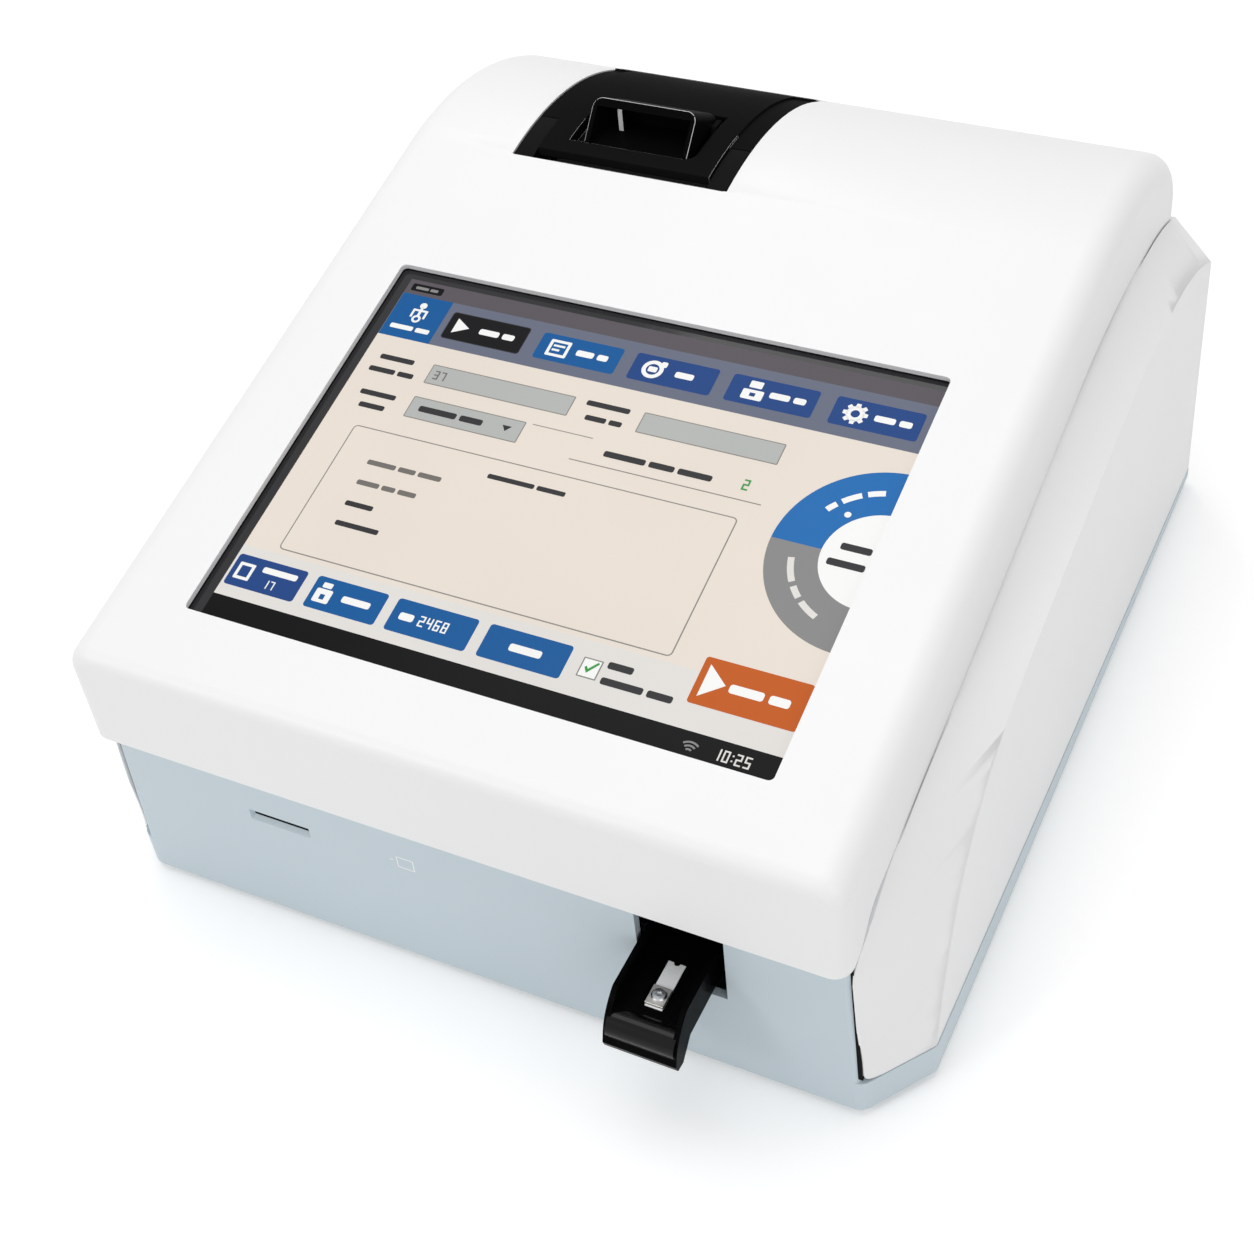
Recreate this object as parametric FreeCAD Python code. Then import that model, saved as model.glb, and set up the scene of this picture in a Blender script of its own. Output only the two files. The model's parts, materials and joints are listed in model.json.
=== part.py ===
import FreeCAD, Part
import math
import os

# Bench-top rapid test reader: sloped touch display, cassette tray at the front, ticket printer in the top.
# Millimetres. While it is built, X runs to the right, Y back from the front lip of the cover and Z up from
# the underside of the base. At export everything moves so that the origin is under the middle of the box.

Vector = FreeCAD.Vector

# ---- driving dimensions: case ---------------------------------------------------------------------------
CASE_DEPTH = 276.0          # front lip to the rear faces
BASE_WIDTH = 246.4          # over the base band and the side panels
BASE_WALL = 2.4
BASE_FRONT_SETBACK = 5.7    # the base front stands behind the cover's lip
BASE_LEAN = 0.051           # the base's walls lean in, per mm of height
WALL_SHOULDER = 0.9         # and step in this far under the cover's lip
CORNER_RUN = 18.5           # plan chamfer at the front corners, front to back
CORNER_RADIUS = 5.0         # rounding of the band's plan corners
BAND_FOOT_CHAMFER = 1.5
FRONT_EDGE_RADIUS = 2.0     # upright front edges of the base's walls
BAND_FRONT = 13.2           # height of the visible base band at the front
BAND_FALL = 0.031           # how much the band falls, per mm towards the rear
COVER_WIDTH = 217.4
COVER_WALL = 2.5
COVER_EDGE_RADIUS = 8.0
COVER_CORNER_RADIUS = 5.0   # upright corners
LIP_BOTTOM = 62.5
LIP_HEIGHT = 31.9
LIP_SHELF = 2.2
SLOPE_DEG = 12.66
CREST_RADIUS = 100.0
CREST_SETBACK = 61.0        # crest line to the rear face
REAR_RADIUS = 25.0
RIM_DEPTH = 24.9            # cover's side rim, square to the slope
PANEL_WALL = 3.0
PANEL_DRAFT = 0.024
PANEL_CORNER = 3.0          # rounding of the panel's lower front corner
SEAM_GAP = 0.4
FIT = 0.3                   # clearance between fixed mouldings
REAR_PANEL_INSET = 4.0
REAR_PANEL_WALL = 2.4
FOOT_RADIUS = 8.0
FOOT_STAND = 1.5
FOOT_SEAT = 1.0
CASE_SCREW_RADIUS = 1.5
CASE_BOSS_RADIUS = 4.0
CASE_BOSS_SPLIT = 52.0      # height where base and cover bosses meet
SEAM_TURN_Y = 19.6                      # the seam sweeps up from the lip to here
TONGUE = 4.0                # base walls reach this far up inside the cover
FRONT_EDGE_TOP = 57.0
CASE_SCREW_SIDE = 11.0      # case screws in from the cover's sides
CASE_SCREW_END = 22.0       # and in from its ends

# ---- driving dimensions: display ------------------------------------------------------------------------
WINDOW_WIDTH = 165.0
WINDOW_LENGTH = 125.3
WINDOW_START = 22.2         # along the slope, from the lip
WINDOW_RADIUS = 1.5
REBATE_DEPTH = 0.9
GLASS_MARGIN = 3.5          # glass beyond the window, each side
GLASS_THICKNESS = 1.8
GASKET_THICKNESS = 0.4
LCD_WIDTH = 178.0
LCD_LENGTH = 137.0
LCD_THICKNESS = 6.2
DISPLAY_PLATE = 1.2
DISPLAY_BOSS_RADIUS = 3.2

# ---- driving dimensions: cassette tray and its drive ----------------------------------------------------
TRAY_REACH = 18.0           # tray beyond the lip with the tray out
TRAY_CENTRE_X = 61.3
TRAY_WIDTH = 20.0
TRAY_LENGTH = 108.0
TRAY_WING_TOP = 44.8
TRAY_WING_BOTTOM = 34.4
TRAY_WING_WALL = 1.5
TRAY_FLOOR_TOP = 39.4
TRAY_FLOOR = 2.0
TRAY_FRONT_BOTTOM = 29.6
TRAY_TRAVEL = 17.5          # from out to flush with the cover's lip
THUMB_RADIUS = 4.2          # rolled thumb piece across the nose
THUMB_RISE = 0.5            # its top above the tray floor
TRAY_STEP_Y = 9.2           # wings deepen into the front piece this far ahead of the lip
MOUTH_LEFT = 50.4           # tray mouth in the base front
MOUTH_WIDTH = 24.1
MOUTH_BOTTOM = 31.0
MOUTH_TOP = 60.0            # hidden behind the cover's lip
STRIP_WIDTH = 4.8           # leaf strip that holds a cassette down
STRIP_LENGTH = 14.3
STRIP_THICKNESS = 0.4
CLAMP_WIDTH = 5.0
CLAMP_LENGTH = 5.8
CLAMP_THICKNESS = 0.8
ROD_RADIUS = 2.5
ROD_OFFSET = 15.0           # guide rods either side of the tray's middle
ROD_HEIGHT = 32.0
ROD_START = 14.0
ROD_LENGTH = 102.0
RUNNING_FIT = 0.05
CARRIAGE_START = 48.0
CARRIAGE_LENGTH = 36.0
CARRIAGE_HEIGHT = 10.0
CARRIAGE_WALL = 4.5         # round the rods
BRACKET_WALL = 5.0
BRACKET_BAR = 9.6
RACK_MODULE = 0.8
RACK_WIDTH = 6.0
RACK_SPARE = 5.0            # rack beyond the pinion at both ends of the travel
RACK_HEIGHT = 6.9           # pitch line to the carriage
PINION_TEETH = 15
PINION_Y = 90.0
PINION_SHAFT_RADIUS = 1.5
GEAR_BACKLASH = 0.2
TRAY_MOTOR_HALF = 10.5
TRAY_MOTOR_LENGTH = 15.0
TRAY_MOTOR_GAP = 6.5        # pinion to bracket
MOTOR_PLATE = 1.5
OPTICS_START = 34.0
OPTICS_LENGTH = 40.0
OPTICS_CLEAR = 50.0         # height that passes under the optics bridge
OPTICS_HEIGHT = 32.0
OPTICS_WIDTH = 32.0
BRIDGE_SPAN = 49.0
BRIDGE_WALL = 2.0
BRIDGE_FOOT = 6.0
FILTER_HALF = 9.0
FILTER_THICKNESS = 4.0

# ---- driving dimensions: identification card slot -------------------------------------------------------
CARD_CENTRE_X = -56.7
CARD_MOUTH_WIDTH = 19.3
CARD_MOUTH_HEIGHT = 4.0
CARD_MOUTH_BOTTOM = 39.5
CARD_SLOT_WIDTH = 16.8
CARD_SLOT_HEIGHT = 1.6

# ---- driving dimensions: printer ------------------------------------------------------------------------
PRINTER_CENTRE_X = -36.3
PRINTER_WIDTH = 68.8
PRINTER_REACH = 23.1        # printer's front edge ahead of the crest line
PRINTER_GAP = 0.4
PAD_WIDTH = 6.3
PAD_END = 4.0               # pads end this far ahead of the crest line
EXIT_SLOT = 4.1             # paper exit, front to back
DOOR_WALL = 2.5
DOOR_STEP = 0.8             # the pads and the door's flanks lie this much lower than its tongue
DOOR_GAP = 0.35
DOOR_TURN_DEG = 27.0        # where the door ends, seen from the crest's centre
HINGE_DEPTH = 6.0           # hinge line below the outer surface
HINGE_PIN_RADIUS = 1.5
DOOR_ARM = 1.2
GEAR_SIDE_GAP = 0.2
PLATEN_RADIUS = 5.0
PLATEN_SETBACK = 12.0       # platen ahead of the crest line
PLATEN_DEPTH = 11.1         # platen line below the top of the crest
PLATEN_SHAFT_RADIUS = 2.0
PAPER_WIDTH = 50.0
ROLL_RADIUS = 20.0
ROLL_CORE_RADIUS = 6.5
ROLL_SETBACK = 17.0         # roll behind the crest line
ROLL_DEPTH = 28.5           # roll line below the top of the crest
ROLL_FIT = 0.4              # paper roll to its bucket
ROLL_SIDE_GAP = 0.5
BUCKET_WALL = 1.8
FRAME_WALL = 2.0
PRINT_MODULE = 0.6
PLATEN_TEETH = 20
PRINT_PINION_TEETH = 12
PRINT_GEAR_WIDTH = 2.2
PRINT_MOTOR_HALF = 7.5
PRINT_MOTOR_LENGTH = 16.0
LEVER_WIDTH = 33.3
LEVER_CENTRE_OFFSET = 1.2   # lever's middle to the right of the printer's middle
LEVER_WALL = 1.5
LEVER_PIVOT_SETBACK = 6.5   # lever pivot behind the crest line
LEVER_PIVOT_DEPTH = 1.6     # and below the top of the crest
LEVER_PIN_RADIUS = 1.0
LEVER_TOP = 8.6             # lever above the top of the crest
POCKET_CENTRE_OFFSET = 0.3
POCKET_WIDTH = 40.4
POCKET_LENGTH = 25.0
POCKET_DEPTH = 3.6
POCKET_FLOOR = 1.2
POCKET_CORNER = 4.0         # plan rounding of the pocket's front right corner
MOUTH_BEVEL = 3.4           # shallow bevel on the cover beside the printer
MOUTH_BEVEL_DEPTH = 0.5
PRINTER_BOSS_RADIUS = 3.5
PINION_BORE = 1.0
LEVER_EAR = 1.5
LEVER_REACH = 12.7          # lever's mouth at its foot ahead of the crest line
LEVER_BROW_REACH = 3.4      # and at its top
LEVER_TAIL_SETBACK = 10.0
POCKET_REACH = 13.6         # pocket's front edge ahead of the crest line

# ---- driving dimensions: boards and sockets -------------------------------------------------------------
BOARD = 1.6
BOARD_HEIGHT = 12.0
STANDOFF_RADIUS = 3.0
IO_BOARD_HEIGHT = 20.0
SPEAKER_X = -78.0
SPEAKER_Y = 84.0
SPEAKER_WIDTH = 26.0
SPEAKER_LENGTH = 34.0
MAIN_BOARD = (-56.0, 30.0, 66.0, 176.0)       # x0, x1, y0, y1
CARD_BOARD = (-76.0, -38.0, 9.0, 52.0)
SWITCH_X = 80.0
SWITCH_Z = 48.0
SWITCH_BODY = (13.2, 20.0)              # width and height behind the flange
SWITCH_FLANGE = 1.2
SWITCH_WELL = (10.8, 17.9)
ROCKER_PIVOT_IN = 3.4                   # pivot line behind the rear panel's outer face
ROCKER_TILT_DEG = 8.0
INLET_X = 36.0
INLET_SIZE = (9.6, 11.0)
INLET_RADIUS = 3.1
LAN_X = 12.0
LAN_SIZE = (16.4, 13.6)
LAN_MOUTH = (11.8, 9.4)
USB_X = (-16.0, -34.0)
USB_SIZE = (13.2, 6.2)
USB_MOUTH = (12.2, 5.2)
SOCKET_DEPTH = 14.0
VENT_X = -78.0

# ---- what follows from them -----------------------------------------------------------------------------
SLOPE = math.radians(SLOPE_DEG)
LIP_TOP = LIP_BOTTOM + LIP_HEIGHT
CREST_Y = CASE_DEPTH - CREST_SETBACK
CREST_START_Y = CREST_Y - CREST_RADIUS * math.sin(SLOPE)
CREST_Z = LIP_TOP + CREST_START_Y * math.tan(SLOPE) - CREST_RADIUS * math.cos(SLOPE)
TOP_Z = CREST_Z + CREST_RADIUS
REAR_Y = CASE_DEPTH - REAR_RADIUS
REAR_SWING = math.asin((REAR_Y - CREST_Y) / (CREST_RADIUS - REAR_RADIUS))
REAR_Z = CREST_Z + (CREST_RADIUS - REAR_RADIUS) * math.cos(REAR_SWING)
BASE_FRONT = BASE_FRONT_SETBACK
BASE_HALF = BASE_WIDTH / 2
COVER_HALF = COVER_WIDTH / 2
WALL_KNEE = COVER_HALF - COVER_WALL - FIT
BASE_FRONT_HALF = WALL_KNEE + WALL_SHOULDER + LIP_BOTTOM * BASE_LEAN
REAR_PANEL_BACK = CASE_DEPTH - REAR_PANEL_INSET
REAR_PANEL_FRONT = REAR_PANEL_BACK - REAR_PANEL_WALL
FLOOR_TOP = BASE_WALL
SHIFT = Vector(0, -(CASE_DEPTH - TRAY_REACH) / 2, FOOT_STAND)

PRINTER_FRONT = CREST_Y - PRINTER_REACH
PRINTER_LEFT = PRINTER_CENTRE_X - PRINTER_WIDTH / 2
PRINTER_RIGHT = PRINTER_CENTRE_X + PRINTER_WIDTH / 2
PAD_REAR = CREST_Y - PAD_END
DOOR_FRONT = PRINTER_FRONT + EXIT_SLOT
DOOR_TURN = math.radians(DOOR_TURN_DEG)
HINGE_Y = CREST_Y + (CREST_RADIUS - HINGE_DEPTH) * math.sin(DOOR_TURN)
HINGE_Z = CREST_Z + (CREST_RADIUS - HINGE_DEPTH) * math.cos(DOOR_TURN)
PRINTER_REAR = HINGE_Y + HINGE_DEPTH + PRINTER_GAP
TONGUE_LEFT = PRINTER_LEFT + PAD_WIDTH + DOOR_GAP
TONGUE_RIGHT = PRINTER_RIGHT - PAD_WIDTH - DOOR_GAP
PLATEN_Y = CREST_Y - PLATEN_SETBACK
PLATEN_Z = TOP_Z - PLATEN_DEPTH
ROLL_Y = CREST_Y + ROLL_SETBACK
ROLL_Z = TOP_Z - ROLL_DEPTH

SEAM_BEND_Y = CREST_Y - 50.0            # from here it follows one arc to the rear
SEAM_CREST = (CREST_Y + 7.0, TOP_Z - 28.7)
SEAM_REAR_Z = TOP_Z - 40.0
CASE_SCREW_X = COVER_HALF - CASE_SCREW_SIDE
CASE_SCREW_PLACES = [(side * CASE_SCREW_X, y) for side in (-1, 1)
                     for y in (CASE_SCREW_END, CASE_DEPTH - CASE_SCREW_END)]
WINDOW_END = WINDOW_START + WINDOW_LENGTH
GLASS_TOP = -(COVER_WALL - REBATE_DEPTH + GASKET_THICKNESS)
GLASS_BACK = GLASS_TOP - GLASS_THICKNESS
LCD_BACK = GLASS_BACK - LCD_THICKNESS
PLATE_BACK = LCD_BACK - DISPLAY_PLATE
DISPLAY_MIDDLE = WINDOW_START + WINDOW_LENGTH / 2
DISPLAY_EAR = LCD_WIDTH / 2 + 3.6
DISPLAY_PLACES = [(side * DISPLAY_EAR, DISPLAY_MIDDLE + end * 48.0) for side in (-1, 1) for end in (-1, 1)]
PRINTER_EAR_TOP = TOP_Z - 19.0
PRINTER_PLACES = [(x, y) for x in (PRINTER_LEFT - 5.5, PRINTER_RIGHT + 5.5)
                  for y in (CREST_Y + 6.0, CREST_Y + 32.0)]
FRONT_WALL_TOP = LIP_BOTTOM + 5.0
FOOT_PLACES = [(side * (BASE_HALF - 24.0), y) for side in (-1, 1) for y in (46.0, CASE_DEPTH - 34.0)]
IO_BOARD = (-62.0, 46.0, CASE_DEPTH - 58.0, REAR_PANEL_FRONT - 0.6)
CARD_BOARD_HEIGHT = CARD_MOUTH_BOTTOM - 3.6
CORNER_Y = BASE_FRONT + CORNER_RUN
SOCKET_Z = IO_BOARD_HEIGHT + BOARD
REAR_PANEL_TOP = SEAM_REAR_Z + 5.0
TRAY_LEFT = TRAY_CENTRE_X - TRAY_WIDTH / 2
TRAY_RIGHT = TRAY_CENTRE_X + TRAY_WIDTH / 2
TRAY_FRONT = -TRAY_REACH
TRAY_REAR = TRAY_FRONT + TRAY_LENGTH
CARRIAGE_TOP = TRAY_FLOOR_TOP - TRAY_FLOOR
CARRIAGE_HALF = ROD_OFFSET + CARRIAGE_WALL
PITCH_LINE = CARRIAGE_TOP - CARRIAGE_HEIGHT - RACK_HEIGHT
PINION_RADIUS = RACK_MODULE * PINION_TEETH / 2
PINION_Z = PITCH_LINE - PINION_RADIUS
PINION_X = TRAY_CENTRE_X + RACK_WIDTH / 2           # right-hand face of the pinion
MOTOR_X = PINION_X + TRAY_MOTOR_GAP + MOTOR_PLATE
BRIDGE_TOP = OPTICS_CLEAR + BRIDGE_WALL
STRIP_X = TRAY_CENTRE_X + 0.2
STRIP_START = -TRAY_STEP_Y + 0.3
GEAR_LEFT = TONGUE_LEFT
ARM_LEFT = GEAR_LEFT + PRINT_GEAR_WIDTH + GEAR_SIDE_GAP
SLEEVE_LEFT = ARM_LEFT + DOOR_ARM + GEAR_SIDE_GAP
SLEEVE_RIGHT = TONGUE_RIGHT - DOOR_ARM - GEAR_SIDE_GAP
ROLL_LEFT = (SLEEVE_LEFT + SLEEVE_RIGHT - PAPER_WIDTH) / 2
ROLL_RIGHT = ROLL_LEFT + PAPER_WIDTH
BUCKET_RADIUS = ROLL_RADIUS + ROLL_FIT
CHEEK_LEFT = PRINTER_LEFT + 0.5
CHEEK_RIGHT = PRINTER_RIGHT - 0.5
PRINT_PINION_DROP = PRINT_MODULE * (PLATEN_TEETH + PRINT_PINION_TEETH) / 2
PRINT_PINION_Z = PLATEN_Z - PRINT_PINION_DROP
EAR_RADIUS = HINGE_DEPTH - DOOR_WALL - FIT
LEVER_LEFT = PRINTER_CENTRE_X + LEVER_CENTRE_OFFSET - LEVER_WIDTH / 2
LEVER_RIGHT = LEVER_LEFT + LEVER_WIDTH
LEVER_PIVOT_Y = CREST_Y + LEVER_PIVOT_SETBACK
LEVER_PIVOT_Z = TOP_Z - LEVER_PIVOT_DEPTH
LEVER_MOUTH_Y = CREST_Y - LEVER_REACH
LEVER_BROW_Y = CREST_Y - LEVER_BROW_REACH
LEVER_TAIL_Y = CREST_Y + LEVER_TAIL_SETBACK
POCKET_LEFT = PRINTER_CENTRE_X + POCKET_CENTRE_OFFSET - POCKET_WIDTH / 2
POCKET_RIGHT = POCKET_LEFT + POCKET_WIDTH
POCKET_FRONT = CREST_Y - POCKET_REACH
POCKET_REAR = POCKET_FRONT + POCKET_LENGTH
POCKET_RADIUS = CREST_RADIUS - POCKET_DEPTH
DOOR_INSIDE = CREST_RADIUS - DOOR_WALL
FLANK_RADIUS = CREST_RADIUS - DOOR_STEP
DOOR_BACK = PAD_REAR + PRINTER_GAP      # behind here the door is as wide as the printer
CROSSBAR_BACK = PRINTER_FRONT - 0.7
CROSSBAR_TOP = LIP_TOP + CROSSBAR_BACK * math.tan(SLOPE) - COVER_WALL - 1.4
HEAD_BACK = PLATEN_Y - PLATEN_RADIUS - 0.1
HEAD_FRONT = HEAD_BACK - 3.4


# ---- drawing helpers ------------------------------------------------------------------------------------
def box(x0, x1, y0, y1, z0, z1):
    return Part.makeBox(x1 - x0, y1 - y0, z1 - z0, Vector(x0, y0, z0))


def bar_x(radius, x0, x1, y, z):
    return Part.makeCylinder(radius, x1 - x0, Vector(x0, y, z), Vector(1, 0, 0))


def bar_y(radius, y0, y1, x, z):
    return Part.makeCylinder(radius, y1 - y0, Vector(x, y0, z), Vector(0, 1, 0))


def post(radius, z0, z1, x, y, sides=8):
    """Upright post or hole with flat sides, measured across its flats."""
    reach = radius / math.cos(math.pi / sides)
    outline = []
    for side in range(sides):
        turn = 2 * math.pi * (side + 0.5) / sides
        outline.append((x + reach * math.cos(turn), y + reach * math.sin(turn)))
    return prism_z(outline, z0, z1)


def prism_x(outline, x0, x1):
    """Outline of (y, z) points, run from x0 to x1."""
    corners = [Vector(x0, y, z) for y, z in outline]
    return Part.Face(Part.makePolygon(corners + corners[:1])).extrude(Vector(x1 - x0, 0, 0))


def prism_y(outline, y0, y1):
    """Outline of (x, z) points, run from y0 to y1."""
    corners = [Vector(x, y0, z) for x, z in outline]
    return Part.Face(Part.makePolygon(corners + corners[:1])).extrude(Vector(0, y1 - y0, 0))


def prism_z(outline, z0, z1):
    """Outline of (x, y) points, run from z0 to z1."""
    corners = [Vector(x, y, z0) for x, y in outline]
    return Part.Face(Part.makePolygon(corners + corners[:1])).extrude(Vector(0, 0, z1 - z0))


def fused(shapes):
    whole = shapes[0].multiFuse(shapes[1:]) if len(shapes) > 1 else shapes[0]
    return whole.removeSplitter()


def mirrored(shape):
    return shape.mirror(Vector(0, 0, 0), Vector(1, 0, 0))


def line(a, b):
    return Part.LineSegment(a, b).toShape()


def arc(a, b, c):
    return Part.Arc(a, b, c).toShape()


def on_slope(shape):
    """Moves a shape drawn as (x, along the slope, square to it) onto the cover's slope."""
    placed = shape.copy()
    placed.rotate(Vector(0, 0, 0), Vector(1, 0, 0), SLOPE_DEG)
    placed.translate(Vector(0, 0, LIP_TOP))
    return placed


def upright(edge):
    return abs(edge.tangentAt(edge.FirstParameter).z) > 0.99


def rounded_plate(x0, x1, y0, y1, z0, z1, radius):
    plate = box(x0, x1, y0, y1, z0, z1)
    return plate.makeFillet(radius, [e for e in plate.Edges if upright(e)])


def crest_ring(r0, r1, x0, x1, y0, y1):
    """A piece of skin between two radii about the crest's centre line."""
    outer = bar_x(r1, x0, x1, CREST_Y, CREST_Z)
    inner = bar_x(r0, x0 - 1, x1 + 1, CREST_Y, CREST_Z)
    return outer.cut(inner).common(box(x0, x1, y0, y1, CREST_Z, CREST_Z + r1 + 1))


def gear_outline(module, teeth, backlash):
    """Points (u, v) of an involute spur gear with two straight facets to a flank."""
    pitch = module * teeth / 2
    base = pitch * math.cos(math.radians(20))
    root = pitch - 1.25 * module
    tip = pitch + module
    lean = math.tan(math.radians(20)) - math.radians(20)
    half = math.pi / (2 * teeth) - backlash / (2 * pitch)

    def flank_angle(radius):
        turn = math.acos(base / max(radius, base))
        return half + lean - (math.tan(turn) - turn)

    stations = [root, pitch, tip]
    points = []
    for tooth in range(teeth):
        middle = 2 * math.pi * tooth / teeth
        for radius in stations:
            angle = middle - flank_angle(radius)
            points.append((radius * math.cos(angle), radius * math.sin(angle)))
        for radius in reversed(stations):
            angle = middle + flank_angle(radius)
            points.append((radius * math.cos(angle), radius * math.sin(angle)))
    return points


def gear_x(module, teeth, backlash, x0, x1, y, z, turn):
    """Spur gear about a line along X through (y, z), with one tooth pointing at angle turn from +Y."""
    outline = []
    for u, v in gear_outline(module, teeth, backlash):
        across = u * math.cos(turn) - v * math.sin(turn)
        above = u * math.sin(turn) + v * math.cos(turn)
        outline.append((y + across, z + above))
    return prism_x(outline, x0, x1)


# ---- case ----------------------------------------------------------------------------------------------
def crest_point(radius, y):
    return CREST_Z + math.sqrt(radius ** 2 - (y - CREST_Y) ** 2)


def rim_line(y):
    """Height of the straight part of the cover's side seam."""
    return LIP_TOP + y * math.tan(SLOPE) - RIM_DEPTH / math.cos(SLOPE)


def seam_edges(x, drop):
    """Lower edge of the cover's side, from the rear to the lip."""
    rear = Vector(x, CASE_DEPTH, SEAM_REAR_Z - drop)
    crest = Vector(x, SEAM_CREST[0], SEAM_CREST[1] - drop)
    bend = Vector(x, SEAM_BEND_Y, rim_line(SEAM_BEND_Y) - drop)
    turn = Vector(x, SEAM_TURN_Y, rim_line(SEAM_TURN_Y) - drop)
    lip = Vector(x, 0, LIP_BOTTOM - drop)
    sweep = Part.BSplineCurve()
    sweep.interpolate(Points=[turn, Vector(x, 9.0, LIP_BOTTOM + 2.0 - drop), lip],
                      InitialTangent=Vector(0, -math.cos(SLOPE), -math.sin(SLOPE)),
                      FinalTangent=Vector(0, -1, -0.05))
    return [arc(rear, crest, bend), line(bend, turn), sweep.toShape()]


def roof_edges(x, inset, front_bottom, rear_bottom):
    """Front, slope, crest and rear of the cover's section, from the front's foot to the rear's foot."""
    crest = CREST_RADIUS - inset
    rear = REAR_RADIUS - inset
    start = Vector(x, CREST_Y - crest * math.sin(SLOPE), CREST_Z + crest * math.cos(SLOPE))
    top = Vector(x, CREST_Y, CREST_Z + crest)
    swing = Vector(x, CREST_Y + crest * math.sin(REAR_SWING), CREST_Z + crest * math.cos(REAR_SWING))
    half = (REAR_SWING + math.pi / 2) / 2
    middle = Vector(x, REAR_Y + rear * math.sin(half), REAR_Z + rear * math.cos(half))
    end = Vector(x, CASE_DEPTH - inset, REAR_Z)
    lip = Vector(x, inset, start.z - (start.y - inset) * math.tan(SLOPE))
    foot = Vector(x, inset, front_bottom)
    heel = Vector(x, CASE_DEPTH - inset, rear_bottom)
    return [line(foot, lip), line(lip, start), arc(start, top, swing), arc(swing, middle, end),
            line(end, heel)]


def cover_solid(drop=0.0):
    """The cover as a full block, or with drop its clearance body: a little wider, with a lower seam."""
    x = -COVER_HALF - drop
    seam = seam_edges(x, drop)
    outline = roof_edges(x, 0.0, LIP_BOTTOM - drop, SEAM_REAR_Z - drop) + seam
    return Part.Face(Part.Wire(outline)).extrude(Vector(-2 * x, 0, 0))


def cover_inside():
    x = -COVER_HALF + COVER_WALL
    roof = roof_edges(x, COVER_WALL, -5.0, -5.0)
    foot = roof[0].Vertexes[0].Point
    heel = Vector(x, CASE_DEPTH - COVER_WALL, -5.0)
    block = Part.Face(Part.Wire(roof + [line(heel, foot)])).extrude(Vector(-2 * x, 0, 0))
    return block.makeChamfer(max((COVER_EDGE_RADIUS - COVER_WALL) * 0.58, 0.5), long_edges(block))


def long_edges(block):
    """The long top edges of the cover and its upright corners."""
    edges = []
    for edge in block.Edges:
        middle = edge.valueAt((edge.FirstParameter + edge.LastParameter) / 2)
        heading = edge.tangentAt((edge.FirstParameter + edge.LastParameter) / 2)
        on_side = abs(middle.x) > COVER_HALF * 0.9 and abs(heading.x) < 0.3
        on_roof = middle.z > LIP_BOTTOM + 5.0 and not seam_edge(middle)
        if on_side and on_roof:
            edges.append(edge)
    return edges


def seam_edge(point):
    """True on the cover's lower edge."""
    inside_front = point.y > 6.0
    inside_rear = point.y < CASE_DEPTH - 6.0
    below_roof = point.z < LIP_TOP + point.y * math.tan(SLOPE) - 8.0
    if point.y > CREST_START_Y and inside_rear:
        below_roof = point.z < roof_height(point.y) - 8.0
    return inside_front and inside_rear and below_roof


def roof_height(y):
    if y < CREST_START_Y:
        return LIP_TOP + y * math.tan(SLOPE)
    if y < CREST_Y + CREST_RADIUS * math.sin(REAR_SWING):
        return crest_point(CREST_RADIUS, y)
    return REAR_Z + math.sqrt(max(REAR_RADIUS ** 2 - (y - REAR_Y) ** 2, 0.0))


def display_boss(x, s, radius, n0, n1):
    return on_slope(post(radius, n0, n1, x, s))


def mouth_bevel(x, side):
    """Wedge turned about the crest's centre line that bevels the cover beside the printer."""
    outer = x + side * MOUTH_BEVEL
    high, low = TOP_Z + 1.0, TOP_Z - MOUTH_BEVEL_DEPTH
    corners = [Vector(outer, CREST_Y, TOP_Z), Vector(outer, CREST_Y, high), Vector(x - side, CREST_Y, high),
               Vector(x - side, CREST_Y, low), Vector(x, CREST_Y, low)]
    face = Part.Face(Part.makePolygon(corners + corners[:1]))
    centre = Vector(0, CREST_Y, CREST_Z)
    front = math.degrees(math.asin((PRINTER_FRONT - CREST_Y) / CREST_RADIUS))
    rear = math.degrees(math.asin((PRINTER_REAR - CREST_Y) / CREST_RADIUS))
    face.rotate(centre, Vector(1, 0, 0), -front)
    return face.revolve(centre, Vector(1, 0, 0), front - rear)


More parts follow.
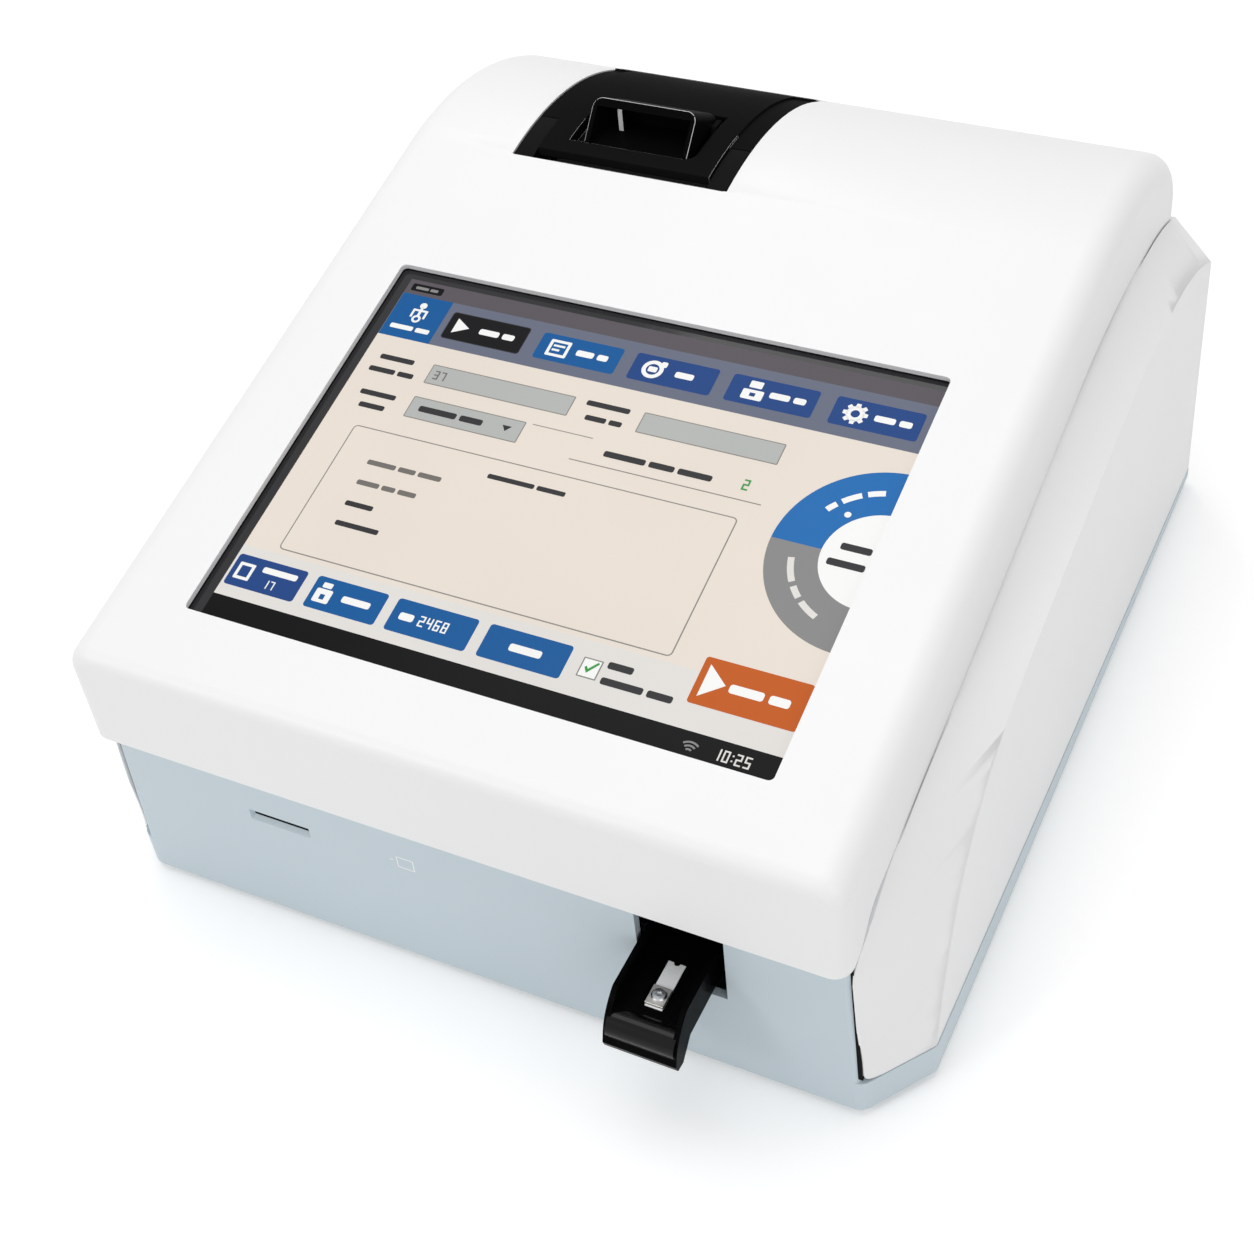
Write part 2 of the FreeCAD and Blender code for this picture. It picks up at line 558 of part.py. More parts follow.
def top_cover():
    outer = cover_solid()
    shell = outer.makeFillet(COVER_EDGE_RADIUS, [e for e in long_edges(outer) if not upright(e)])
    shell = shell.makeFillet(COVER_CORNER_RADIUS, [e for e in long_edges(shell) if upright(e)])
    shell = shell.cut(cover_inside())
    shelf = box(-COVER_HALF + 6.0, COVER_HALF - 6.0, COVER_WALL - 0.1, BASE_FRONT - FIT,
                LIP_BOTTOM, LIP_BOTTOM + LIP_SHELF)
    posts = []
    for x, y in CASE_SCREW_PLACES:
        posts.append(post(CASE_BOSS_RADIUS, CASE_BOSS_SPLIT, roof_height(y) - COVER_WALL / 2, x, y))
    for x, y in PRINTER_PLACES:
        posts.append(post(PRINTER_BOSS_RADIUS, PRINTER_EAR_TOP, roof_height(y) - COVER_WALL / 2, x, y))
    for x, s in DISPLAY_PLACES:
        posts.append(display_boss(x, s, DISPLAY_BOSS_RADIUS, LCD_BACK, -COVER_WALL / 2))
    shell = fused([shell, shelf] + [boss.common(outer) for boss in posts])
    bores = [post(CASE_SCREW_RADIUS, CASE_BOSS_SPLIT - 1.0, CASE_BOSS_SPLIT + 14.0, x, y)
             for x, y in CASE_SCREW_PLACES]
    bores += [post(1.2, PRINTER_EAR_TOP - 1.0, PRINTER_EAR_TOP + 8.0, x, y) for x, y in PRINTER_PLACES]
    bores += [display_boss(x, s, 1.2, LCD_BACK - 1.0, LCD_BACK + 6.0) for x, s in DISPLAY_PLACES]
    window = on_slope(rounded_plate(-WINDOW_WIDTH / 2, WINDOW_WIDTH / 2, WINDOW_START, WINDOW_END,
                                    -COVER_WALL - 5.0, 5.0, WINDOW_RADIUS))
    reach = GLASS_MARGIN + FIT
    rebate = on_slope(box(-WINDOW_WIDTH / 2 - reach, WINDOW_WIDTH / 2 + reach, WINDOW_START - reach,
                          WINDOW_END + reach, -COVER_WALL - 0.5, -COVER_WALL + REBATE_DEPTH))
    mouth = rounded_plate(PRINTER_LEFT - PRINTER_GAP, PRINTER_RIGHT + PRINTER_GAP,
                          PRINTER_FRONT - PRINTER_GAP / 2,
                          PRINTER_REAR, TOP_Z - 30.0, TOP_Z + 5.0, 1.2)
    bevels = [mouth_bevel(PRINTER_LEFT - PRINTER_GAP, -1.0), mouth_bevel(PRINTER_RIGHT + PRINTER_GAP, 1.0)]
    return shell.cut(Part.makeCompound(bores + [window, rebate, mouth])).cut(Part.makeCompound(bevels))


# ---- base ----------------------------------------------------------------------------------------------
def band_height(y):
    return BAND_FRONT - y * BAND_FALL


def base_plan(inset):
    front = BASE_FRONT + inset
    half_front = BASE_FRONT_HALF - inset * 0.5
    half = BASE_HALF - inset
    corner = BASE_FRONT + CORNER_RUN + inset * 0.5
    rear = CASE_DEPTH - inset
    return [(-half_front, front), (half_front, front), (half, corner), (half, rear), (-half, rear),
            (-half, corner)]


def below_band(x, drop):
    front, rear = -10.0, CASE_DEPTH + 10.0
    return prism_x([(front, -10.0), (rear, -10.0), (rear, band_height(rear) - drop),
                    (front, band_height(front) - drop)], -x, x)


def wall_line(z):
    """Outer face of the base's walls below the cover's lip, leaning in."""
    return WALL_KNEE + WALL_SHOULDER + (LIP_BOTTOM - z) * BASE_LEAN


def wall_points(offset, z0):
    """The right-hand wall's face moved out by offset: it leans up to its shoulder, then stands upright."""
    shoulder = LIP_BOTTOM - SEAM_GAP
    return [(wall_line(z0) + offset, z0), (wall_line(shoulder) + offset, shoulder),
            (WALL_KNEE + offset, shoulder), (WALL_KNEE + offset, TOP_Z)]


def wall_prism(inset, z0, y0, y1):
    half = wall_points(-inset, z0)
    return prism_y(half + [(-x, z) for x, z in reversed(half)], y0, y1)


def tongue_line():
    rear = REAR_PANEL_FRONT - FIT
    return prism_x([(BASE_FRONT, -5.0), (rear, -5.0), (rear, SEAM_REAR_Z + TONGUE),
                    (SEAM_CREST[0], SEAM_CREST[1] + TONGUE), (SEAM_BEND_Y, rim_line(SEAM_BEND_Y) + TONGUE),
                    (SEAM_TURN_Y, rim_line(SEAM_TURN_Y) + TONGUE), (BASE_FRONT + 4.0, FRONT_WALL_TOP),
                    (BASE_FRONT, FRONT_WALL_TOP)], -BASE_HALF, BASE_HALF)


def card_mouth():
    """Tapered mouth of the card slot, deepest at its top edge."""
    def outline(width, z0, z1, y):
        corners = [Vector(CARD_CENTRE_X - width / 2, y, z0), Vector(CARD_CENTRE_X + width / 2, y, z0),
                   Vector(CARD_CENTRE_X + width / 2, y, z1), Vector(CARD_CENTRE_X - width / 2, y, z1)]
        return Part.makePolygon(corners + corners[:1])
    top = CARD_MOUTH_BOTTOM + CARD_MOUTH_HEIGHT
    outside = outline(CARD_MOUTH_WIDTH, CARD_MOUTH_BOTTOM, top, BASE_FRONT - 0.01)
    inside = outline(CARD_SLOT_WIDTH, top - 0.6 - CARD_SLOT_HEIGHT, top - 0.6, BASE_FRONT + BASE_WALL + 0.01)
    return Part.makeLoft([outside, inside], True)


def front_edge_cut():
    """What the rounding of the right-hand upright front edge takes off, leaning as the wall does."""
    x, y, r = wall_line(0.0), BASE_FRONT, FRONT_EDGE_RADIUS
    shoulder = LIP_BOTTOM - SEAM_GAP
    lean = Vector(wall_line(shoulder) - x, 0, shoulder)
    corners = [Vector(x + a, y + b, 0) for a, b in ((-r, -r), (r, -r), (r, r), (-r, r))]
    block = Part.Face(Part.makePolygon(corners + corners[:1])).extrude(lean)
    rod = Part.Face(Part.Wire(Part.makeCircle(r, Vector(x - r, y + r, 0)))).extrude(lean)
    return block.cut(rod)


def base_shell():
    band = prism_z(base_plan(0.0), 0.0, BAND_FRONT + 5.0)
    corners = [e for e in band.Edges if upright(e) and e.Vertexes[0].Y < CASE_DEPTH / 2]
    band = band.makeFillet(CORNER_RADIUS, corners).common(below_band(BASE_HALF + 5.0, 0.0))
    under = [e for e in band.Edges if abs(e.BoundBox.ZMax) < 0.001]
    band = band.makeChamfer(BAND_FOOT_CHAMFER, under)
    band = band.cut(prism_z(base_plan(BASE_WALL), FLOOR_TOP, BAND_FRONT + 6.0))
    walls = wall_prism(0.0, FLOOR_TOP - 0.5, BASE_FRONT, REAR_PANEL_FRONT - FIT)
    rounding = front_edge_cut()
    walls = walls.cut(rounding).cut(mirrored(rounding))
    walls = walls.cut(wall_prism(BASE_WALL, FLOOR_TOP - 1.0, BASE_FRONT + BASE_WALL, CASE_DEPTH))
    walls = walls.common(tongue_line())
    posts = [post(CASE_BOSS_RADIUS, FLOOR_TOP / 2, CASE_BOSS_SPLIT - FIT, x, y) for x, y in CASE_SCREW_PLACES]
    shell = fused([band, walls] + posts + standoffs_in_base())
    cuts = [post(CASE_SCREW_RADIUS + 0.3, -1.0, CASE_BOSS_SPLIT + 1.0, x, y) for x, y in CASE_SCREW_PLACES]
    cuts += [post(CASE_SCREW_RADIUS * 2 + 0.4, -1.0, FLOOR_TOP + 2.0, x, y) for x, y in CASE_SCREW_PLACES]
    cuts += [post(FOOT_RADIUS + 0.2, -1.0, FOOT_SEAT, x, y, 16) for x, y in FOOT_PLACES]
    cuts.append(box(MOUTH_LEFT, MOUTH_LEFT + MOUTH_WIDTH, BASE_FRONT - 1.0, BASE_FRONT + BASE_WALL + 1.0,
                    MOUTH_BOTTOM, MOUTH_TOP))
    cuts.append(card_mouth())
    for column in range(-2, 3):
        cuts.append(box(SPEAKER_X + column * 4.0 - 0.8, SPEAKER_X + column * 4.0 + 0.8,
                        SPEAKER_Y - 9.0, SPEAKER_Y + 9.0, -1.0, FLOOR_TOP + 0.5))
    return shell.cut(Part.makeCompound(cuts))


def corners_of(board, inset=4.0):
    x0, x1, y0, y1 = board
    return [(x, y) for y in (y0 + inset, y1 - inset) for x in (x0 + inset, x1 - inset)]


BOARD_POSTS = [(MAIN_BOARD, BOARD_HEIGHT, corners_of(MAIN_BOARD)),
               (CARD_BOARD, CARD_BOARD_HEIGHT, corners_of(CARD_BOARD)[1:3]),
               (IO_BOARD, IO_BOARD_HEIGHT, corners_of(IO_BOARD)[:2])]


def standoffs_in_base():
    """Posts moulded on the floor that carry the three boards."""
    return [post(STANDOFF_RADIUS, FLOOR_TOP / 2, height, x, y)
            for board, height, places in BOARD_POSTS for x, y in places]


# ---- side panels ---------------------------------------------------------------------------------------
def side_plane(z):
    return BASE_HALF - z * PANEL_DRAFT


def along_side(share):
    """A place on the side panel, from 0 at the front corner to 1 at the rear."""
    return CORNER_Y + share * (CASE_DEPTH - CORNER_Y)


def below_rim(share, drop):
    y = along_side(share)
    return y, rim_line(y) - drop


FOLD_POINTS = [(CORNER_Y, BAND_FRONT - 0.6), (along_side(0.039), LIP_BOTTOM * 0.64),
               (along_side(0.09), LIP_BOTTOM - 2.0), below_rim(0.146, 9.6), below_rim(0.222, 5.9),
               below_rim(0.388, 6.8), below_rim(0.603, 9.9), (along_side(0.793), SEAM_CREST[1] - 10.0),
               (CASE_DEPTH, SEAM_REAR_Z - 14.2)]


def panel_inner_edge():
    """Front edge and seam of a side panel, as points that pair with FOLD_POINTS."""
    start = BASE_FRONT + 0.3
    bottom = FOLD_POINTS[0][1]
    clear = 0.8
    points = [(BASE_FRONT_HALF + clear - bottom * BASE_LEAN, start, bottom),
              (BASE_FRONT_HALF + clear - 36.0 * BASE_LEAN, start, 36.0),
              (BASE_FRONT_HALF + clear - FRONT_EDGE_TOP * BASE_LEAN, start + 0.6, FRONT_EDGE_TOP),
              (COVER_HALF, 14.5, 66.5)]
    for y in (SEAM_TURN_Y + 10.4, along_side(0.222), SEAM_BEND_Y - 5.0):
        points.append((COVER_HALF, y, rim_line(y)))
    points.append((COVER_HALF, SEAM_CREST[0] + 2.0, SEAM_CREST[1]))
    points.append((COVER_HALF, CASE_DEPTH, SEAM_REAR_Z))
    return [Vector(x, y, z - SEAM_GAP - 0.2) for x, y, z in points]


def panel_block():
    """Full right-hand side panel: a twisted facet between its inner edge and the fold, and a flat side."""
    inner = panel_inner_edge()
    fold = [Vector(side_plane(z), y, z) for y, z in FOLD_POINTS]
    stations = [0.0]
    for a, b in zip(fold, fold[1:]):
        stations.append(stations[-1] + (b - a).Length)
    edges = []
    for points in (inner, fold):
        curve = Part.BSplineCurve()
        curve.interpolate(Points=points, Parameters=stations)
        edges.append(curve.toShape())
    facet = Part.makeRuledSurface(edges[0], edges[1])
    rear_foot = band_height(CASE_DEPTH)
    low_rear = Vector(side_plane(rear_foot), CASE_DEPTH, rear_foot)
    side = Part.Face(Part.Wire([edges[1], line(fold[-1], low_rear), line(low_rear, fold[0])]))
    depth = Vector(-30.0, 0, 0)
    return facet.extrude(depth).fuse(side.extrude(depth)).removeSplitter()


def panel_inner_limit():
    gap = 0.4
    outline = wall_points(gap, -5.0)
    outline += [(BASE_HALF + 20.0, TOP_Z), (BASE_HALF + 20.0, -5.0)]
    return prism_y(outline, BASE_FRONT + 0.2, CASE_DEPTH)


def side_panel():
    block = panel_block().common(panel_inner_limit())
    block = block.cut(below_band(BASE_HALF + 20.0, -0.25))
    hollow = block.copy()
    hollow.translate(Vector(-PANEL_WALL, 0, 0))
    reach = box(0, BASE_HALF, BASE_FRONT + CORNER_RUN, CASE_DEPTH - PANEL_WALL, 0, TOP_Z)
    reach = reach.cut(below_band(BASE_HALF + 20.0, -0.25 - PANEL_WALL))
    block = block.cut(hollow.common(reach))
    x0 = wall_line(BAND_FRONT) + 0.8
    z0 = band_height(BASE_FRONT) + 0.25
    corner = box(x0 - 2.0, x0 + PANEL_CORNER, BASE_FRONT - 1.0, BASE_FRONT + CORNER_RUN / 3, z0 - 1.0,
                 z0 + PANEL_CORNER)
    corner = corner.cut(bar_y(PANEL_CORNER, BASE_FRONT - 2.0, BASE_FRONT + CORNER_RUN, x0 + PANEL_CORNER,
                              z0 + PANEL_CORNER))
    return block.cut(corner).cut(cover_solid(SEAM_GAP))


# ---- rear panel and sockets -----------------------------------------------------------------------------


def rear_panel():
    half = WALL_KNEE - 0.2
    shoulder = half - COVER_EDGE_RADIUS
    outline = [(half, FLOOR_TOP), (half, SEAM_REAR_Z - 1.0), (shoulder, REAR_PANEL_TOP)]
    sheet = prism_y(outline + [(-x, z) for x, z in reversed(outline)], REAR_PANEL_FRONT, REAR_PANEL_BACK)
    y0, y1 = REAR_PANEL_FRONT - 1.0, REAR_PANEL_BACK + 1.0
    cuts = [box(SWITCH_X - SWITCH_BODY[0] / 2 - 0.1, SWITCH_X + SWITCH_BODY[0] / 2 + 0.1, y0, y1,
                SWITCH_Z - SWITCH_BODY[1] / 2 - 0.1, SWITCH_Z + SWITCH_BODY[1] / 2 + 0.1)]
    for x, size in [(INLET_X, INLET_SIZE), (LAN_X, LAN_SIZE)] + [(x, USB_SIZE) for x in USB_X]:
        left, right = x - size[0] / 2 - 0.2, x + size[0] / 2 + 0.2
        cuts.append(box(left, right, y0, y1, SOCKET_Z - 0.2, SOCKET_Z + size[1] + 0.2))
    for row in range(6):
        low = 30.0 + row * 7.0
        cuts.append(box(VENT_X - 18.0, VENT_X + 18.0, y0, y1, low, low + 3.0))
    return sheet.cut(Part.makeCompound(cuts))


def socket(x, size, mouth, depth):
    """Box socket on the rear board, open to the rear."""
    y1 = REAR_PANEL_BACK - 0.2
    shell = box(x - size[0] / 2, x + size[0] / 2, y1 - depth, y1, SOCKET_Z, SOCKET_Z + size[1])
    low = SOCKET_Z + (size[1] - mouth[1]) / 2
    return shell.cut(box(x - mouth[0] / 2, x + mouth[0] / 2, y1 - depth + 1.5, y1 + 1.0, low, low + mouth[1]))


def usb_sockets():
    sockets = []
    for x in USB_X:
        y1 = REAR_PANEL_BACK - 0.2
        middle = SOCKET_Z + USB_SIZE[1] / 2
        tongue = box(x - 5.2, x + 5.2, y1 - SOCKET_DEPTH + 1.0, y1 - 1.5, middle + 0.1, middle + 1.9)
        sockets.append(socket(x, USB_SIZE, USB_MOUTH, SOCKET_DEPTH).fuse(tongue))
    return Part.makeCompound(sockets)


def lan_socket():
    return socket(LAN_X, LAN_SIZE, LAN_MOUTH, SOCKET_DEPTH + 4.0)


def dc_inlet():
    y1 = REAR_PANEL_BACK - 0.2
    x0, x1 = INLET_X - INLET_SIZE[0] / 2, INLET_X + INLET_SIZE[0] / 2
    body = box(x0, x1, y1 - SOCKET_DEPTH, y1, SOCKET_Z, SOCKET_Z + INLET_SIZE[1])
    z = SOCKET_Z + INLET_SIZE[1] / 2 + 0.6
    return body.cut(bar_y(INLET_RADIUS, y1 - 9.5, y1 + 1.0, INLET_X, z)).fuse(
        bar_y(1.0, y1 - 10.0, y1 - 1.0, INLET_X, z))


def switch_body():
    width, height = SWITCH_BODY
    back = box(SWITCH_X - width / 2, SWITCH_X + width / 2, REAR_PANEL_FRONT - 10.0, REAR_PANEL_BACK,
               SWITCH_Z - height / 2, SWITCH_Z + height / 2)
    flange = box(SWITCH_X - width / 2 - 1.0, SWITCH_X + width / 2 + 1.0, REAR_PANEL_BACK,
                 REAR_PANEL_BACK + SWITCH_FLANGE, SWITCH_Z - height / 2 - 1.0, SWITCH_Z + height / 2 + 1.0)
    well = box(SWITCH_X - SWITCH_WELL[0] / 2, SWITCH_X + SWITCH_WELL[0] / 2, REAR_PANEL_FRONT - 8.0,
               REAR_PANEL_BACK + 5.0, SWITCH_Z - SWITCH_WELL[1] / 2, SWITCH_Z + SWITCH_WELL[1] / 2)
    return back.fuse(flange).cut(well).removeSplitter()


def power_rocker():
    y = REAR_PANEL_BACK - ROCKER_PIVOT_IN
    face = REAR_PANEL_BACK + SWITCH_FLANGE
    half = SWITCH_WELL[1] / 2 - 0.9
    outline = [(y - 4.0, SWITCH_Z - 4.5), (face - 1.5, SWITCH_Z - half), (face + 0.8, SWITCH_Z - half),
               (face - 0.3, SWITCH_Z), (face + 0.8, SWITCH_Z + half), (face - 1.5, SWITCH_Z + half),
               (y - 4.0, SWITCH_Z + 4.5)]
    paddle = prism_x(outline, SWITCH_X - SWITCH_WELL[0] / 2 + 0.3, SWITCH_X + SWITCH_WELL[0] / 2 - 0.3)
    pegs = bar_x(1.0, SWITCH_X - SWITCH_WELL[0] / 2 + 0.05, SWITCH_X + SWITCH_WELL[0] / 2 - 0.05, y, SWITCH_Z)
    rocker = paddle.fuse(pegs)
    rocker.rotate(Vector(SWITCH_X, y, SWITCH_Z), Vector(1, 0, 0), -ROCKER_TILT_DEG)
    return rocker


# ---- boards -------------------------------------------------------------------------------------------
def board_sheet(board, height):
    x0, x1, y0, y1 = board
    return box(x0, x1, y0, y1, height, height + BOARD)


def main_board():
    x0, x1, y0, y1 = MAIN_BOARD
    sheet = board_sheet(MAIN_BOARD, BOARD_HEIGHT)
    top = BOARD_HEIGHT + BOARD
    chips = [box(x0 + 26.0, x0 + 44.0, y0 + 40.0, y0 + 58.0, top, top + 2.0),
             box(x0 + 56.0, x0 + 70.0, y0 + 36.0, y0 + 56.0, top, top + 1.4),
             box(x0 + 20.0, x0 + 60.0, y1 - 14.0, y1 - 8.0, top, top + 6.0),
             box(x0 + 3.0, x0 + 9.0, y0 + 30.0, y0 + 70.0, top, top + 6.0)]
    return fused([sheet] + chips)


def heat_sink():
    """Finned block on the processor of the main board."""
    x0 = MAIN_BOARD[0] + 25.0
    y0 = MAIN_BOARD[2] + 39.0
    z0 = BOARD_HEIGHT + BOARD + 2.0
    size = 20.0
    block = box(x0, x0 + size, y0, y0 + size, z0, z0 + 9.0)
    fins = [box(x0 + 1.6 + i * 3.8, x0 + 3.4 + i * 3.8, y0 - 1.0, y0 + size + 1.0, z0 + 2.0, z0 + 10.0)
            for i in range(5)]
    return block.cut(Part.makeCompound(fins))


def io_board():
    x0, x1, y0, y1 = IO_BOARD
    sheet = board_sheet(IO_BOARD, IO_BOARD_HEIGHT)
    top = IO_BOARD_HEIGHT + BOARD
    return fused([sheet, box(x0 + 10.0, x0 + 40.0, y0 + 6.0, y0 + 12.0, top, top + 6.0)])


def card_reader_board():
    return board_sheet(CARD_BOARD, CARD_BOARD_HEIGHT)


def card_socket():
    """Contact block behind the card slot."""
    y0 = BASE_FRONT + BASE_WALL + FIT
    z0 = CARD_BOARD_HEIGHT + BOARD
    top = CARD_MOUTH_BOTTOM + CARD_MOUTH_HEIGHT
    half = CARD_SLOT_WIDTH / 2
    block = box(CARD_CENTRE_X - half - 2.0, CARD_CENTRE_X + half + 2.0, y0, y0 + 28.0, z0, top + 1.4)
    slot = box(CARD_CENTRE_X - half, CARD_CENTRE_X + half, y0 - 1.0, y0 + 24.0,
               top - 0.6 - CARD_SLOT_HEIGHT, top - 0.6)
    return block.cut(slot)


def speaker():
    """Flat loudspeaker over the slots in the floor."""
    half = SPEAKER_WIDTH / 2
    reach = SPEAKER_LENGTH / 2
    rim = box(SPEAKER_X - half, SPEAKER_X + half, SPEAKER_Y - reach, SPEAKER_Y + reach, FLOOR_TOP,
              FLOOR_TOP + 3.0)
    magnet = box(SPEAKER_X - half / 2, SPEAKER_X + half / 2, SPEAKER_Y - reach / 2, SPEAKER_Y + reach / 2,
                 FLOOR_TOP + 2.0, FLOOR_TOP + 6.0)
    mouth = box(SPEAKER_X - half + 2.0, SPEAKER_X + half - 2.0, SPEAKER_Y - reach + 2.0,
                SPEAKER_Y + reach - 2.0,
                FLOOR_TOP - 1.0, FLOOR_TOP + 1.6)
    return fused([rim, magnet]).cut(mouth)


# ---- feet and screws ------------------------------------------------------------------------------------
def rubber_feet():
    return Part.makeCompound([post(FOOT_RADIUS, -FOOT_STAND, FOOT_SEAT, x, y, 16) for x, y in FOOT_PLACES])


def screw(head_radius, shank_radius, head, length, x, y, z):
    """Screw standing on its head at z, with its shank upwards."""
    return post(head_radius, z, z + head, x, y).fuse(post(shank_radius, z + head, z + head + length, x, y))


def case_screws():
    z = FLOOR_TOP + 2.0 - 1.9
    length = CASE_BOSS_SPLIT + 8.0 - z - 1.9
    return Part.makeCompound([screw(CASE_SCREW_RADIUS * 2, CASE_SCREW_RADIUS - 0.05, 1.9, length, x, y, z)
                              for x, y in CASE_SCREW_PLACES])


# ---- display --------------------------------------------------------------------------------------------
def display_layer(width, length, n0, n1):
    return on_slope(box(-width / 2, width / 2, DISPLAY_MIDDLE - length / 2, DISPLAY_MIDDLE + length / 2,
                        n0, n1))


def touch_panel():
    return display_layer(WINDOW_WIDTH + 2 * GLASS_MARGIN, WINDOW_LENGTH + 2 * GLASS_MARGIN, GLASS_BACK,
                         GLASS_TOP)


def window_gasket():
    outer = display_layer(WINDOW_WIDTH + 2 * GLASS_MARGIN, WINDOW_LENGTH + 2 * GLASS_MARGIN,
                          GLASS_TOP, GLASS_TOP + GASKET_THICKNESS)
    return outer.cut(display_layer(WINDOW_WIDTH + 0.8, WINDOW_LENGTH + 0.8, GLASS_TOP - 1.0,
                                   GLASS_TOP + GASKET_THICKNESS + 1.0))


def lcd_module():
    return display_layer(LCD_WIDTH, LCD_LENGTH, LCD_BACK, GLASS_BACK)


def display_plate():
    """Sheet-metal plate behind the display, with ears to the cover's bosses and a cable window."""
    plate = display_layer(LCD_WIDTH - 6.0, LCD_LENGTH - 4.0, PLATE_BACK, LCD_BACK)
    ears = []
    holes = [display_layer(70.0, 40.0, PLATE_BACK - 1.0, LCD_BACK + 1.0)]
    for x, s in DISPLAY_PLACES:
        side = math.copysign(1.0, x)
        inner = side * (LCD_WIDTH / 2 - 12.0)
        outer = x + side * 3.6
        ears.append(on_slope(box(min(inner, outer), max(inner, outer), s - 5.0, s + 5.0, PLATE_BACK,
                                 LCD_BACK)))
        holes.append(display_boss(x, s, 1.6, PLATE_BACK - 1.0, LCD_BACK + 1.0))
    return fused([plate] + ears).cut(Part.makeCompound(holes))


def display_screws():
    screws = []
    for x, s in DISPLAY_PLACES:
        head = display_boss(x, s, 2.8, PLATE_BACK - 1.6, PLATE_BACK)
        screws.append(head.fuse(display_boss(x, s, 1.15, PLATE_BACK, LCD_BACK + 5.0)))
    return Part.makeCompound(screws)


# ---- cassette tray and its drive --------------------------------------------------------------------------


def tray_front_profile(x, crown):
    """Nose of the tray as edges, from the top of a wall or floor at crown round to its underside."""
    nose = TRAY_FRONT + 0.6
    step = -TRAY_STEP_Y
    shoulder = Vector(x, step - 0.3, crown)
    brow = Vector(x, TRAY_FRONT + 4.0, TRAY_FLOOR_TOP - 0.9)
    face_top = Vector(x, nose, TRAY_WING_BOTTOM - 0.2)
    face_foot = Vector(x, TRAY_FRONT, TRAY_FRONT_BOTTOM + 2.2)
    chin = Vector(x, nose + 0.2, TRAY_FRONT_BOTTOM)
    heel = Vector(x, step - 5.0, TRAY_FRONT_BOTTOM - 0.4)
    knee = Vector(x, step, TRAY_WING_BOTTOM)
    return shoulder, brow, face_top, face_foot, chin, heel, knee


def tray_wing(x):
    shoulder, brow, face_top, face_foot, chin, heel, knee = tray_front_profile(x, TRAY_WING_TOP)
    cheek = Vector(x, brow.y - 0.4, TRAY_FLOOR_TOP + 1.2)
    rear_top = Vector(x, TRAY_REAR, TRAY_WING_TOP)
    rear_foot = Vector(x, TRAY_REAR, TRAY_WING_BOTTOM)
    edges = [line(rear_top, shoulder), arc(shoulder, cheek, face_top), line(face_top, face_foot),
             line(face_foot, chin), line(chin, heel), line(heel, knee), line(knee, rear_foot),
             line(rear_foot, rear_top)]
    return Part.Face(Part.Wire(edges)).extrude(Vector(TRAY_WING_WALL, 0, 0))


def cassette_tray():
    """Channel with two wings and a rolled thumb piece across the front."""
    x = TRAY_LEFT + TRAY_WING_WALL / 2
    width = TRAY_WIDTH - TRAY_WING_WALL
    shoulder, brow, face_top, face_foot, chin, heel, knee = tray_front_profile(x, TRAY_FLOOR_TOP)
    under = Vector(x, knee.y + 3.0, CARRIAGE_TOP)
    rear_top = Vector(x, TRAY_REAR, TRAY_FLOOR_TOP)
    rear_foot = Vector(x, TRAY_REAR, CARRIAGE_TOP)
    edges = [line(rear_top, shoulder), arc(shoulder, brow, face_top), line(face_top, face_foot),
             line(face_foot, chin), line(chin, heel), line(heel, knee), line(knee, under),
             line(under, rear_foot), line(rear_foot, rear_top)]
    floor = Part.Face(Part.Wire(edges)).extrude(Vector(width, 0, 0))
    stop = box(TRAY_LEFT, TRAY_RIGHT, TRAY_REAR - TRAY_WING_WALL, TRAY_REAR, CARRIAGE_TOP,
               TRAY_WING_TOP - 3.0)
    thumb = bar_x(THUMB_RADIUS, x, x + width, TRAY_FRONT + THUMB_RADIUS + 0.4,
                  TRAY_FLOOR_TOP - THUMB_RADIUS + THUMB_RISE)
    return fused([floor, tray_wing(TRAY_LEFT), tray_wing(TRAY_RIGHT - TRAY_WING_WALL), stop, thumb])


def leaf_strip():
    sheet = box(STRIP_X - STRIP_WIDTH / 2, STRIP_X + STRIP_WIDTH / 2, STRIP_START, STRIP_START + STRIP_LENGTH,
                TRAY_FLOOR_TOP, TRAY_FLOOR_TOP + STRIP_THICKNESS)
    notch = post(STRIP_WIDTH / 6, TRAY_FLOOR_TOP - 1.0, TRAY_FLOOR_TOP + 1.0, STRIP_X,
                 STRIP_START + STRIP_LENGTH)
    return sheet.cut(notch)


def clamp_plate():
    """Small plate that clamps the strip to the tray floor."""
    z = TRAY_FLOOR_TOP + STRIP_THICKNESS
    return box(STRIP_X - CLAMP_WIDTH / 2, STRIP_X + CLAMP_WIDTH / 2, STRIP_START + 0.3,
               STRIP_START + 0.3 + CLAMP_LENGTH,
               z, z + CLAMP_THICKNESS)


